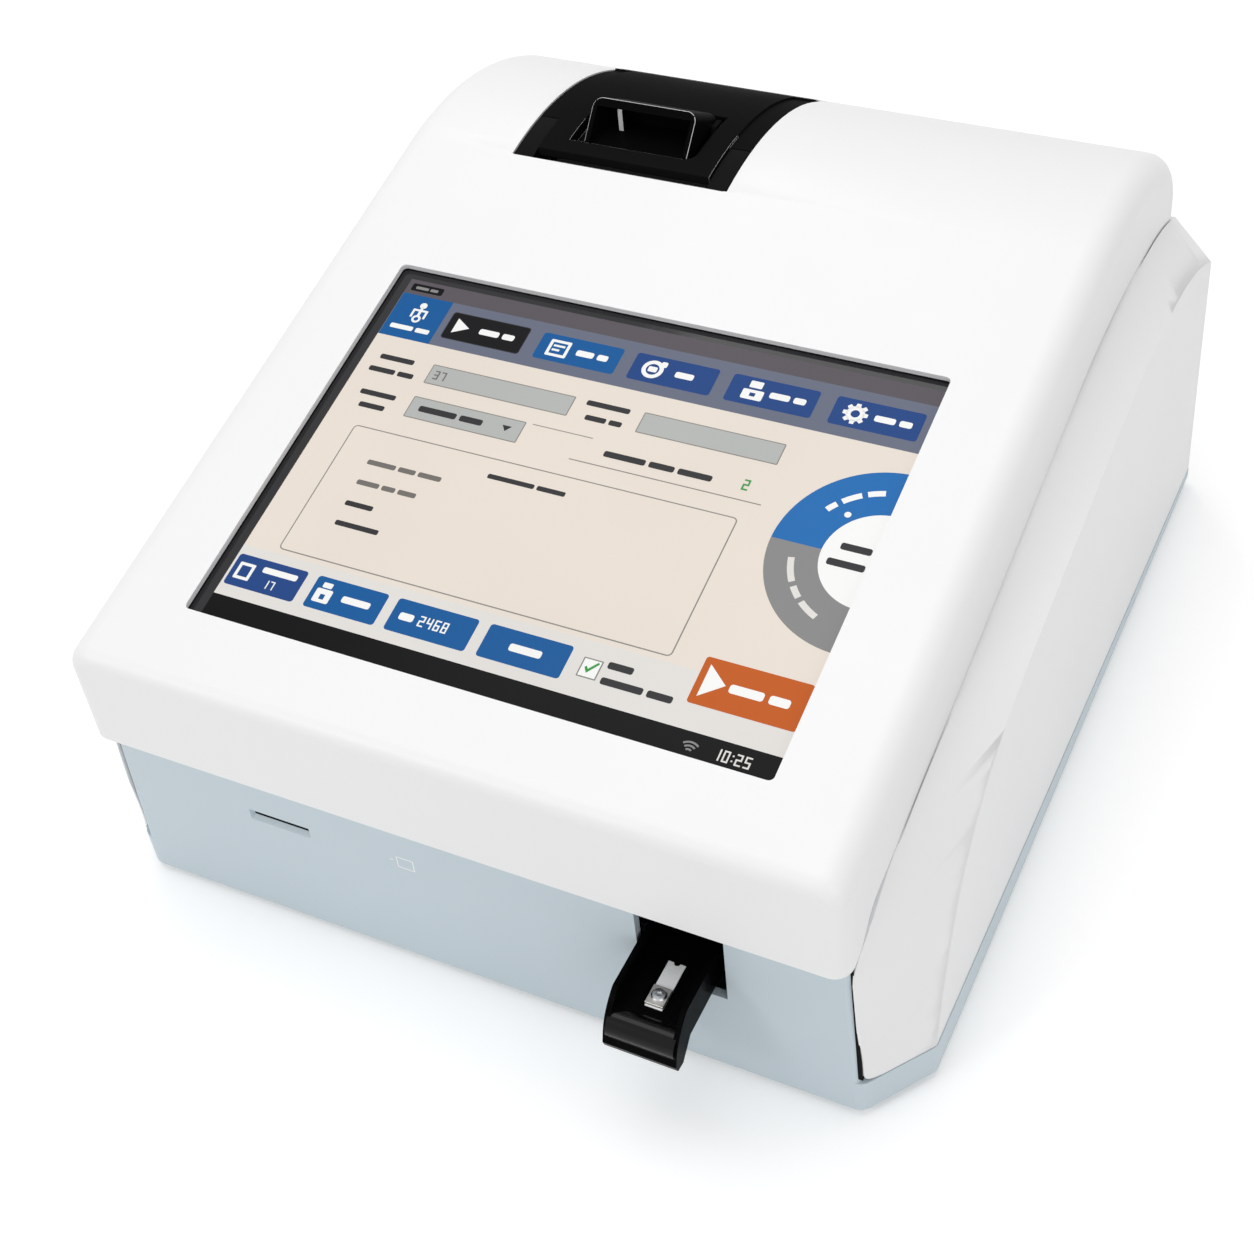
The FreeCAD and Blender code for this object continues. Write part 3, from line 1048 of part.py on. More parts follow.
def tray_carriage():
    """Slide block: two bushed cheeks on the rods, with the tray floor seated on its middle."""
    slot = FIT + TRAY_WING_WALL
    low = CARRIAGE_TOP - CARRIAGE_HEIGHT
    wing = TRAY_WIDTH / 2
    half = [(CARRIAGE_HALF, low), (CARRIAGE_HALF, CARRIAGE_TOP - 0.4), (wing + FIT, CARRIAGE_TOP - 0.4),
            (wing + FIT, TRAY_WING_BOTTOM - FIT), (wing - slot, TRAY_WING_BOTTOM - FIT), (wing - slot,
                                                                                          CARRIAGE_TOP)]
    outline = [(TRAY_CENTRE_X + x, z) for x, z in half]
    outline += [(TRAY_CENTRE_X - x, z) for x, z in reversed(half)]
    y0, y1 = CARRIAGE_START, CARRIAGE_START + CARRIAGE_LENGTH
    bores = [bar_y(ROD_RADIUS + RUNNING_FIT, y0 - 1.0, y1 + 1.0, TRAY_CENTRE_X + side * ROD_OFFSET,
                   ROD_HEIGHT)
             for side in (-1, 1)]
    return prism_y(outline, y0, y1).cut(Part.makeCompound(bores))


def tray_rack():
    """Rack under the carriage, teeth down, long enough for the whole travel."""
    y0 = PINION_Y - TRAY_TRAVEL - RACK_SPARE
    teeth = int((TRAY_TRAVEL + 2 * RACK_SPARE) / (math.pi * RACK_MODULE))
    pitch = math.pi * RACK_MODULE
    tilt = math.tan(math.radians(20))
    top = CARRIAGE_TOP - CARRIAGE_HEIGHT
    root = PITCH_LINE + 1.25 * RACK_MODULE
    tip = PITCH_LINE - RACK_MODULE
    narrow = pitch / 4 - RACK_MODULE * tilt - GEAR_BACKLASH / 4
    wide = pitch / 4 + 1.25 * RACK_MODULE * tilt - GEAR_BACKLASH / 4
    first = PINION_Y - pitch / 2 - pitch * math.floor((PINION_Y - pitch / 2 - y0) / pitch)
    outline = [(y0 - 2.0, top), (y0 - 2.0, root)]
    for number in range(teeth):
        middle = first + number * pitch
        outline += [(middle - wide, root), (middle - narrow, tip), (middle + narrow, tip),
                    (middle + wide, root)]
    end = first + teeth * pitch
    outline += [(end, root), (end, top)]
    return prism_x(outline, TRAY_CENTRE_X - RACK_WIDTH / 2, TRAY_CENTRE_X + RACK_WIDTH / 2)


def tray_pinion():
    """Pinion with a tooth straight up between two rack teeth, and its shaft into the motor."""
    gear = gear_x(RACK_MODULE, PINION_TEETH, GEAR_BACKLASH, PINION_X - RACK_WIDTH + 0.5, PINION_X - 0.5,
                  PINION_Y, PINION_Z, math.pi / 2)
    shaft = bar_x(PINION_SHAFT_RADIUS, PINION_X - RACK_WIDTH, MOTOR_X + TRAY_MOTOR_LENGTH / 2, PINION_Y,
                  PINION_Z)
    return fused([gear, shaft])


def square_motor(half, x0, x1, y, z):
    """Square stepper body with cut corners, about a line along X."""
    cut = half * 0.3
    corners = [(half, half - cut), (half - cut, half), (cut - half, half), (-half, half - cut),
               (-half, cut - half), (cut - half, -half), (half - cut, -half), (half, cut - half)]
    return prism_x([(y + u, z + v) for u, v in corners], x0, x1)


def tray_motor():
    body = square_motor(TRAY_MOTOR_HALF, MOTOR_X, MOTOR_X + TRAY_MOTOR_LENGTH, PINION_Y, PINION_Z)
    bore = bar_x(PINION_SHAFT_RADIUS + RUNNING_FIT, MOTOR_X - 1.0, MOTOR_X + TRAY_MOTOR_LENGTH / 2 + 0.5,
                 PINION_Y, PINION_Z)
    return body.cut(bore)


def tray_motor_bracket():
    """Bent plate on the floor that holds the tray motor by its face."""
    half = TRAY_MOTOR_HALF + 1.0
    plate = box(MOTOR_X - MOTOR_PLATE, MOTOR_X, PINION_Y - half, PINION_Y + half, FLOOR_TOP, PINION_Z + half)
    foot = box(MOTOR_X - TRAY_MOTOR_GAP, MOTOR_X, PINION_Y - half, PINION_Y + half, FLOOR_TOP,
               FLOOR_TOP + MOTOR_PLATE)
    reach = PINION_SHAFT_RADIUS + 1.5
    hole = square_motor(reach, MOTOR_X - MOTOR_PLATE - 1.0, MOTOR_X + 1.0, PINION_Y, PINION_Z)
    return fused([plate, foot]).cut(hole)


def guide_rods():
    return Part.makeCompound([bar_y(ROD_RADIUS, ROD_START, ROD_START + ROD_LENGTH,
                                    TRAY_CENTRE_X + side * ROD_OFFSET,
                                    ROD_HEIGHT) for side in (-1, 1)])


def rod_brackets():
    """Two U-shaped brackets on the floor, with the rod ends seated in open slots in their arms."""
    inner = TRAY_WIDTH / 2 + 0.5
    top = ROD_HEIGHT + ROD_RADIUS + 2.5
    half = [(CARRIAGE_HALF, FLOOR_TOP), (CARRIAGE_HALF, top), (inner, top), (inner, FLOOR_TOP + BRACKET_BAR)]
    outline = [(TRAY_CENTRE_X + x, z) for x, z in half] + [(TRAY_CENTRE_X - x, z) for x, z in reversed(half)]
    brackets = []
    for y0 in (ROD_START, ROD_START + ROD_LENGTH - BRACKET_WALL):
        bracket = prism_y(outline, y0, y0 + BRACKET_WALL)
        for side in (-1, 1):
            middle = TRAY_CENTRE_X + side * ROD_OFFSET
            bracket = bracket.cut(box(middle - ROD_RADIUS, middle + ROD_RADIUS, y0 - 1.0,
                                      y0 + BRACKET_WALL + 1.0,
                                      ROD_HEIGHT - ROD_RADIUS, top + 1.0))
        brackets.append(bracket)
    return Part.makeCompound(brackets)


# ---- optics ---------------------------------------------------------------------------------------------
def optics_bridge():
    """Hat-section sheet over the tray, screwed to the floor at its feet."""
    half = BRIDGE_SPAN / 2
    outer = [(half + BRIDGE_FOOT, FLOOR_TOP), (half + BRIDGE_FOOT, FLOOR_TOP + BRIDGE_WALL),
             (half, FLOOR_TOP + BRIDGE_WALL), (half, BRIDGE_TOP)]
    inner = [(half - BRIDGE_WALL, OPTICS_CLEAR), (half - BRIDGE_WALL, FLOOR_TOP)]
    outline = [(TRAY_CENTRE_X - x, z) for x, z in outer] + [(TRAY_CENTRE_X + x, z) for x,
                                                            z in reversed(outer)]
    outline += [(TRAY_CENTRE_X + x, z) for x, z in reversed(inner)] + [(TRAY_CENTRE_X - x, z) for x,
                                                                       z in inner]
    sheet = prism_y(outline, OPTICS_START, OPTICS_START + OPTICS_LENGTH)
    middle = OPTICS_START + OPTICS_LENGTH / 2
    reach = FILTER_HALF - 2.0
    view = box(TRAY_CENTRE_X - reach, TRAY_CENTRE_X + reach, middle - reach, middle + reach,
               OPTICS_CLEAR - 1.0, BRIDGE_TOP + 1.0)
    return sheet.cut(view)


def optics_housing():
    """Block with a stepped square bore for the filter."""
    middle = OPTICS_START + OPTICS_LENGTH / 2
    half = OPTICS_WIDTH / 2
    x = TRAY_CENTRE_X
    top = BRIDGE_TOP + OPTICS_HEIGHT
    block = box(x - half, x + half, middle - half, middle + half, BRIDGE_TOP, top)
    corner = prism_y([(x + half - 8.0, top + 1.0), (x + half - 8.0, top - 4.0), (x + half + 1.0, top - 13.0),
                      (x + half + 1.0, top + 1.0)], middle - half - 1.0, middle + half + 1.0)
    reach = FILTER_HALF
    bore = box(x - reach, x + reach - 2.0, middle - reach, middle + reach, BRIDGE_TOP + 2.0, top + 1.0)
    reach = FILTER_HALF - 2.0
    port = box(x - reach, x + reach - 2.0, middle - reach, middle + reach, BRIDGE_TOP - 1.0, BRIDGE_TOP + 3.0)
    return block.cut(Part.makeCompound([corner, bore, port]))


def optics_filter():
    middle = OPTICS_START + OPTICS_LENGTH / 2
    reach = FILTER_HALF - RUNNING_FIT
    z = BRIDGE_TOP + 2.0
    return box(TRAY_CENTRE_X - reach, TRAY_CENTRE_X + reach - 2.0, middle - reach, middle + reach, z,
               z + FILTER_THICKNESS)


def optics_lamp():
    """Lamp module on the housing's right-hand side."""
    middle = OPTICS_START + OPTICS_LENGTH / 2
    x0 = TRAY_CENTRE_X + OPTICS_WIDTH / 2
    return box(x0, x0 + 5.0, middle - 7.0, middle + 7.0, BRIDGE_TOP + 4.0, BRIDGE_TOP + 18.0)


def optics_board():
    middle = OPTICS_START + OPTICS_LENGTH / 2
    half = OPTICS_WIDTH / 2
    z = BRIDGE_TOP + OPTICS_HEIGHT
    return box(TRAY_CENTRE_X - half, TRAY_CENTRE_X + half - 8.0, middle - half, middle + half, z, z + BOARD)


# ---- printer --------------------------------------------------------------------------------------------


def printer_cheek(x):
    """Side plate of the frame, with an ear that carries the hinge pin."""
    front = CROSSBAR_BACK - 2.4
    low = ROLL_Z - 14.0
    plate = prism_x([(front, low), (HINGE_Y + 2.0, low), (HINGE_Y + 2.0, TOP_Z), (front + 3.0, TOP_Z),
                     (front + 3.0, CROSSBAR_TOP), (front, CROSSBAR_TOP)], x, x + FRAME_WALL)
    skin = bar_x(DOOR_INSIDE - FIT, x - 1.0, x + FRAME_WALL + 1.0, CREST_Y, CREST_Z)
    plate = plate.common(skin)
    plate = plate.cut(bar_x(HINGE_DEPTH + FIT, x - 1.0, x + FRAME_WALL + 1.0, HINGE_Y, HINGE_Z))
    plate = plate.cut(box(x - 1.0, x + FRAME_WALL + 1.0, HINGE_Y - 2.0, HINGE_Y + 9.0, low - 1.0, TOP_Z))
    ear = bar_x(EAR_RADIUS, x, x + FRAME_WALL, HINGE_Y, HINGE_Z)
    neck = prism_x([(HINGE_Y - 10.0, HINGE_Z - 8.0), (HINGE_Y, HINGE_Z - EAR_RADIUS * 0.9),
                    (HINGE_Y, HINGE_Z + EAR_RADIUS * 0.6), (HINGE_Y - 10.0, HINGE_Z)], x, x + FRAME_WALL)
    return fused([plate, ear, neck])


def printer_frame():
    """One moulding: front pads, cheeks, crossbar, paper bucket and four fixing ears."""
    pads = [crest_ring(CREST_RADIUS - 6.0, FLANK_RADIUS, x, x + PAD_WIDTH, PRINTER_FRONT + 0.3, PAD_REAR)
            for x in (PRINTER_LEFT, PRINTER_RIGHT - PAD_WIDTH)]
    cheeks = [printer_cheek(CHEEK_LEFT), printer_cheek(CHEEK_RIGHT - FRAME_WALL)]
    crossbar = box(CHEEK_LEFT, CHEEK_RIGHT, CROSSBAR_BACK - 2.4, CROSSBAR_BACK, ROLL_Z - 10.0, CROSSBAR_TOP)
    trough = bar_x(BUCKET_RADIUS + BUCKET_WALL, CHEEK_LEFT, CHEEK_RIGHT, ROLL_Y, ROLL_Z)
    hollow = bar_x(BUCKET_RADIUS, CHEEK_LEFT - 1.0, CHEEK_RIGHT + 1.0, ROLL_Y, ROLL_Z)
    below = box(CHEEK_LEFT, CHEEK_RIGHT, ROLL_Y - 30.0, ROLL_Y + 30.0, ROLL_Z - 30.0, ROLL_Z + 2.0)
    trough = trough.cut(hollow).common(below)
    flanks = []
    for x in (ROLL_LEFT - ROLL_SIDE_GAP - FRAME_WALL, ROLL_RIGHT + ROLL_SIDE_GAP):
        disc = bar_x(BUCKET_RADIUS + BUCKET_WALL / 2, x, x + FRAME_WALL, ROLL_Y, ROLL_Z)
        flanks.append(disc.common(below))
    ears = []
    for x, y in PRINTER_PLACES:
        left = min(x - 4.0, CHEEK_RIGHT - 0.5) if x > PRINTER_CENTRE_X else x - 4.0
        right = x + 4.0 if x > PRINTER_CENTRE_X else CHEEK_LEFT + 0.5
        ears.append(box(left, right, y - 5.0, y + 5.0, PRINTER_EAR_TOP - 2.5, PRINTER_EAR_TOP))
    frame = fused(pads + cheeks + [crossbar, trough] + flanks + ears)
    cuts = [bar_x(HINGE_PIN_RADIUS, CHEEK_LEFT - 1.0, CHEEK_RIGHT + 1.0, HINGE_Y, HINGE_Z),
            bar_x(PINION_BORE + 2.0, CHEEK_LEFT - 1.0, CHEEK_LEFT + FRAME_WALL + 1.0, PLATEN_Y,
                  PRINT_PINION_Z)]
    cuts += [post(1.4, PRINTER_EAR_TOP - 4.0, PRINTER_EAR_TOP + 1.0, x, y) for x, y in PRINTER_PLACES]
    return frame.cut(Part.makeCompound(cuts))


def tear_bar():
    """Serrated edge in front of the paper exit, on a flange over the crossbar."""
    y = PRINTER_FRONT + 0.5
    z = roof_height(PRINTER_FRONT) - 1.0
    outline = [(CROSSBAR_BACK - 1.8, CROSSBAR_TOP), (y + 0.8, CROSSBAR_TOP), (y + 0.8, z - 0.8), (y + 0.2, z),
               (y, z - 0.8), (y, CROSSBAR_TOP + 0.6), (CROSSBAR_BACK - 1.8, CROSSBAR_TOP + 0.6)]
    blade = prism_x(outline, TONGUE_LEFT + 0.1, TONGUE_RIGHT - 0.1)
    count = 18
    step = (TONGUE_RIGHT - TONGUE_LEFT) / count
    notches = []
    for number in range(count + 1):
        x = TONGUE_LEFT + number * step
        notches.append(prism_y([(x - step * 0.45, z + 0.5), (x, z - 1.3), (x + step * 0.45, z + 0.5)],
                               y - 1.0, y + 2.0))
    return blade.cut(Part.makeCompound(notches))


def print_head():
    """Heater bar on a metal plate, with two side tabs by the cheeks."""
    plate = box(SLEEVE_LEFT, SLEEVE_RIGHT, HEAD_FRONT, HEAD_BACK - 0.8, PLATEN_Z - 12.0, PLATEN_Z + 4.9)
    heater = box(SLEEVE_LEFT, SLEEVE_RIGHT, HEAD_BACK - 0.8, HEAD_BACK, PLATEN_Z - 3.0, PLATEN_Z + 3.0)
    tabs = box(CHEEK_LEFT + FRAME_WALL + 0.1, CHEEK_RIGHT - FRAME_WALL - 0.1, HEAD_FRONT, HEAD_BACK - 0.8,
               PLATEN_Z - 12.0, PLATEN_Z - 8.0)
    return fused([plate, heater, tabs])


def head_spring():
    """Bent leaf between the crossbar and the print head."""
    y0 = CROSSBAR_BACK
    y1 = HEAD_FRONT
    outline = [(y0, PLATEN_Z - 8.0), (y0 + 0.4, PLATEN_Z - 8.0), (y1, PLATEN_Z), (y1, PLATEN_Z + 1.0),
               (y1 - 0.4, PLATEN_Z + 1.0), (y0, PLATEN_Z - 7.0)]
    return prism_x(outline, PRINTER_CENTRE_X - 9.0, PRINTER_CENTRE_X + 9.0)


def print_motor():
    x1 = CHEEK_LEFT
    body = square_motor(PRINT_MOTOR_HALF, x1 - PRINT_MOTOR_LENGTH, x1, PLATEN_Y, PRINT_PINION_Z)
    bore = bar_x(PINION_BORE + RUNNING_FIT, x1 - PRINT_MOTOR_LENGTH / 2 - 0.5, x1 + 1.0, PLATEN_Y,
                 PRINT_PINION_Z)
    return body.cut(bore)


def print_pinion():
    """Motor pinion in the platen gear's plane, on the motor's shaft."""
    gear = gear_x(PRINT_MODULE, PRINT_PINION_TEETH, GEAR_BACKLASH, GEAR_LEFT, GEAR_LEFT + PRINT_GEAR_WIDTH,
                  PLATEN_Y, PRINT_PINION_Z, math.pi / 2)
    shaft = bar_x(PINION_BORE, CHEEK_LEFT - PRINT_MOTOR_LENGTH / 2, GEAR_LEFT + PRINT_GEAR_WIDTH + 0.1,
                  PLATEN_Y, PRINT_PINION_Z)
    return fused([gear, shaft])


def platen_gear():
    turn = -math.pi / 2 + math.pi / PLATEN_TEETH
    gear = gear_x(PRINT_MODULE, PLATEN_TEETH, GEAR_BACKLASH, GEAR_LEFT, GEAR_LEFT + PRINT_GEAR_WIDTH,
                  PLATEN_Y, PLATEN_Z, turn)
    return gear.cut(bar_x(PLATEN_SHAFT_RADIUS + 0.02, GEAR_LEFT - 1.0, ARM_LEFT, PLATEN_Y, PLATEN_Z))


def platen_shaft():
    return bar_x(PLATEN_SHAFT_RADIUS, GEAR_LEFT, TONGUE_RIGHT, PLATEN_Y, PLATEN_Z)


def platen_sleeve():
    sleeve = bar_x(PLATEN_RADIUS, SLEEVE_LEFT, SLEEVE_RIGHT, PLATEN_Y, PLATEN_Z)
    return sleeve.cut(bar_x(PLATEN_SHAFT_RADIUS + 0.02, SLEEVE_LEFT - 1.0, SLEEVE_RIGHT + 1.0, PLATEN_Y,
                            PLATEN_Z))


def door_arm(x):
    """Arm under the door that carries one end of the platen."""
    outline = [(PLATEN_Y - 3.4, PLATEN_Z - 3.4), (PLATEN_Y + 3.4, PLATEN_Z - 3.4), (PLATEN_Y + 7.0, TOP_Z),
               (PLATEN_Y - 4.4, TOP_Z)]
    arm = prism_x(outline, x, x + DOOR_ARM)
    return arm.common(bar_x(DOOR_INSIDE + 0.5, x - 1.0, x + DOOR_ARM + 1.0, CREST_Y, CREST_Z))


def pocket_plan():
    """Upright block over the pocket, with its front right corner rounded."""
    block = box(POCKET_LEFT, POCKET_RIGHT, POCKET_FRONT, POCKET_REAR, CREST_Z, TOP_Z + 5.0)
    corner = [e for e in block.Edges if upright(e) and e.Vertexes[0].X > PRINTER_CENTRE_X
              and e.Vertexes[0].Y < CREST_Y]
    return block.makeFillet(POCKET_CORNER, corner)


def printer_door():
    """Skin on the crest with a lever pocket, platen arms and a hinge barrel."""
    left, right = PRINTER_LEFT, PRINTER_RIGHT
    tongue = crest_ring(DOOR_INSIDE, CREST_RADIUS, TONGUE_LEFT, TONGUE_RIGHT, DOOR_FRONT, DOOR_BACK + 1.0)
    skin = crest_ring(DOOR_INSIDE, CREST_RADIUS, left, right, DOOR_BACK, HINGE_Y + HINGE_DEPTH * 3)
    reach = CREST_RADIUS * 2
    normal = prism_x([(CREST_Y, CREST_Z), (CREST_Y - PRINTER_REACH * 2, CREST_Z + reach),
                      (CREST_Y + reach * math.sin(DOOR_TURN), CREST_Z + reach * math.cos(DOOR_TURN))],
                     left - 1.0, right + 1.0)
    skin = skin.common(normal)
    ring = bar_x(HINGE_DEPTH, left, right, HINGE_Y, HINGE_Z)
    ring = ring.cut(bar_x(HINGE_DEPTH - DOOR_WALL, left - 1.0, right + 1.0, HINGE_Y, HINGE_Z))
    ring = ring.cut(normal)
    ring = ring.common(box(left, right, HINGE_Y - 0.5, HINGE_Y + 9.0, HINGE_Z - 1.5, HINGE_Z + 9.0))
    barrel = bar_x(HINGE_DEPTH, CHEEK_LEFT + FRAME_WALL + FIT, CHEEK_RIGHT - FRAME_WALL - FIT, HINGE_Y,
                   HINGE_Z)
    tub = crest_ring(POCKET_RADIUS - POCKET_FLOOR, DOOR_INSIDE + 0.5, POCKET_LEFT - POCKET_FLOOR,
                     POCKET_RIGHT + POCKET_FLOOR, POCKET_FRONT - POCKET_FLOOR, POCKET_REAR + POCKET_FLOOR)
    door = fused([tongue, skin, ring, barrel, tub, door_arm(ARM_LEFT), door_arm(TONGUE_RIGHT - DOOR_ARM)])
    pocket = crest_ring(POCKET_RADIUS, CREST_RADIUS + 3.0, POCKET_LEFT, POCKET_RIGHT, POCKET_FRONT,
                        POCKET_REAR)
    door = door.cut(pocket.common(pocket_plan()))
    for x0, x1 in ((left - 1.0, TONGUE_LEFT), (TONGUE_RIGHT, right + 1.0)):
        flank = crest_ring(FLANK_RADIUS, CREST_RADIUS + 1.0, x0, x1, DOOR_BACK - 1.0, HINGE_Y + HINGE_DEPTH)
        door = door.cut(flank.common(normal))
    ears = []
    for x in (LEVER_LEFT - 0.4 - LEVER_EAR, LEVER_RIGHT + 0.4):
        low = TOP_Z - POCKET_DEPTH - 0.8
        high = LEVER_PIVOT_Z + LEVER_PIN_RADIUS + 0.5
        ears.append(prism_x([(LEVER_PIVOT_Y - 4.0, low), (LEVER_PIVOT_Y + 2.6, low),
                             (LEVER_PIVOT_Y + 2.0, high),
                             (LEVER_PIVOT_Y - 2.0, high)], x, x + LEVER_EAR))
    door = fused([door] + ears)
    cuts = [bar_x(PLATEN_SHAFT_RADIUS + RUNNING_FIT, ARM_LEFT - 1.0, TONGUE_RIGHT + 1.0, PLATEN_Y, PLATEN_Z),
            bar_x(HINGE_PIN_RADIUS + RUNNING_FIT, left - 1.0, right + 1.0, HINGE_Y, HINGE_Z),
            bar_x(LEVER_PIN_RADIUS, LEVER_LEFT - 4.0, LEVER_RIGHT + 4.0, LEVER_PIVOT_Y, LEVER_PIVOT_Z)]
    return door.cut(Part.makeCompound(cuts))


def hinge_pin():
    return bar_x(HINGE_PIN_RADIUS, CHEEK_LEFT, CHEEK_RIGHT, HINGE_Y, HINGE_Z)


def lever_pin():
    return bar_x(LEVER_PIN_RADIUS, LEVER_LEFT - 0.4 - LEVER_EAR, LEVER_RIGHT + 0.4 + LEVER_EAR,
                 LEVER_PIVOT_Y, LEVER_PIVOT_Z)


def lever_profile(x, inset, mouth):
    """Side view of the lever's hood, from its foot at the mouth over the roof to the tail."""
    floor = POCKET_RADIUS + 0.4 + inset
    foot = Vector(x, LEVER_MOUTH_Y - mouth, crest_point(floor, LEVER_MOUTH_Y))
    sill = Vector(x, LEVER_MOUTH_Y - mouth, TOP_Z - 1.2)
    brow = Vector(x, LEVER_BROW_Y - mouth, TOP_Z + LEVER_TOP - inset * 1.2)
    tail = Vector(x, LEVER_TAIL_Y - inset * 2.0, TOP_Z + 0.8 - inset * 0.6)
    heel = Vector(x, LEVER_TAIL_Y - 0.4 - inset * 2.0, TOP_Z - 1.4)
    base = Vector(x, LEVER_PIVOT_Y + 0.8 - inset * 2.0, crest_point(floor, LEVER_PIVOT_Y) + 0.3)
    middle = Vector(x, (foot.y + base.y) / 2, crest_point(floor, (foot.y + base.y) / 2))
    return [line(foot, sill), line(sill, brow), line(brow, tail), line(tail, heel), line(heel, base),
            arc(base, middle, foot)]


def release_lever():
    """Hood-shaped lever, open towards the front, with one inner rib."""
    hood = Part.Face(Part.Wire(lever_profile(LEVER_LEFT, 0.0, 0.0))).extrude(Vector(LEVER_WIDTH, 0, 0))
    roof = [e for e in hood.Edges if min(v.Z for v in e.Vertexes) > TOP_Z + 0.5 and e.BoundBox.XLength < 0.01
            and e.BoundBox.YLength > 10.0]
    hood = hood.makeFillet(3.0, roof)
    hollow = Part.Face(Part.Wire(lever_profile(LEVER_LEFT + LEVER_WALL, LEVER_WALL, 2.0)))
    hollow = hollow.extrude(Vector(LEVER_WIDTH - 2 * LEVER_WALL, 0, 0))
    front = box(LEVER_LEFT, LEVER_RIGHT, LEVER_MOUTH_Y - 5.0, LEVER_PIVOT_Y - 4.0, TOP_Z - 10.0, TOP_Z + 20.0)
    hood = hood.cut(hollow.common(front))
    rib = Part.Face(Part.Wire(lever_profile(LEVER_LEFT + 7.0, 0.6, -3.0))).extrude(Vector(LEVER_WALL, 0, 0))
    rib = rib.common(box(LEVER_LEFT, LEVER_RIGHT, LEVER_BROW_Y, LEVER_PIVOT_Y, TOP_Z - 10.0, TOP_Z + 20.0))
    hood = fused([hood, rib])
    middle = (LEVER_LEFT + LEVER_RIGHT) / 2
    notch = box(middle - 3.2, middle + 3.2, LEVER_PIVOT_Y - 3.0, LEVER_PIVOT_Y + 2.2, TOP_Z - 6.0,
                LEVER_PIVOT_Z + 2.0)
    bore = bar_x(LEVER_PIN_RADIUS + RUNNING_FIT, LEVER_LEFT - 1.0, LEVER_RIGHT + 1.0, LEVER_PIVOT_Y,
                 LEVER_PIVOT_Z)
    return hood.cut(Part.makeCompound([notch, bore]))


def lever_spring():
    """Closed coil on the lever's pin, with one leg on the pocket floor."""
    middle = (LEVER_LEFT + LEVER_RIGHT) / 2
    coil = bar_x(LEVER_PIN_RADIUS + 0.8, middle - 2.8, middle + 2.8, LEVER_PIVOT_Y, LEVER_PIVOT_Z)
    coil = coil.cut(bar_x(LEVER_PIN_RADIUS + 0.02, middle - 4.0, middle + 4.0, LEVER_PIVOT_Y, LEVER_PIVOT_Z))
    foot = crest_point(POCKET_RADIUS, LEVER_PIVOT_Y)
    leg = box(middle - 2.6, middle - 1.9, LEVER_PIVOT_Y - 1.7, LEVER_PIVOT_Y - 1.0, foot + 0.15,
              LEVER_PIVOT_Z)
    return fused([coil, leg.cut(bar_x(LEVER_PIN_RADIUS + 0.02, middle - 4.0, middle + 4.0, LEVER_PIVOT_Y,
                                      LEVER_PIVOT_Z))])


def paper_roll():
    roll = bar_x(ROLL_RADIUS, ROLL_LEFT, ROLL_RIGHT, ROLL_Y, ROLL_Z)
    return roll.cut(bar_x(ROLL_CORE_RADIUS, ROLL_LEFT - 1.0, ROLL_RIGHT + 1.0, ROLL_Y, ROLL_Z))


# ---- every sub-part -------------------------------------------------------------------------------------
NODES = [top_cover, base_shell, side_panel, rear_panel, rubber_feet, case_screws, window_gasket, touch_panel,
         lcd_module, display_plate, display_screws, main_board, heat_sink, io_board, card_reader_board,
         card_socket, speaker, usb_sockets, lan_socket, dc_inlet, switch_body, power_rocker,
         cassette_tray, leaf_strip, clamp_plate, tray_rack, tray_carriage, guide_rods, rod_brackets,
         tray_motor, tray_motor_bracket, tray_pinion, optics_bridge, optics_housing, optics_filter,
         optics_lamp, optics_board, printer_frame, tear_bar, print_head, head_spring, print_motor,
         print_pinion, platen_gear, platen_shaft, platen_sleeve, printer_door, hinge_pin, lever_pin,
         release_lever, lever_spring, paper_roll]


def build():
    parts = {}
    for make in NODES:
        parts[make.__name__] = make()
    right = parts.pop("side_panel")
    parts["side_panel_right"] = right
    parts["side_panel_left"] = mirrored(right)
    for shape in parts.values():
        shape.translate(SHIFT)
    return parts


os.makedirs("parts", exist_ok=True)
for name, shape in build().items():
    shape.exportStep("parts/" + name + ".step")
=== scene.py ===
import json
import math

import bmesh
import bpy
from bpy.props import FloatProperty, FloatVectorProperty, IntProperty, PointerProperty
from mathutils import Matrix, Vector

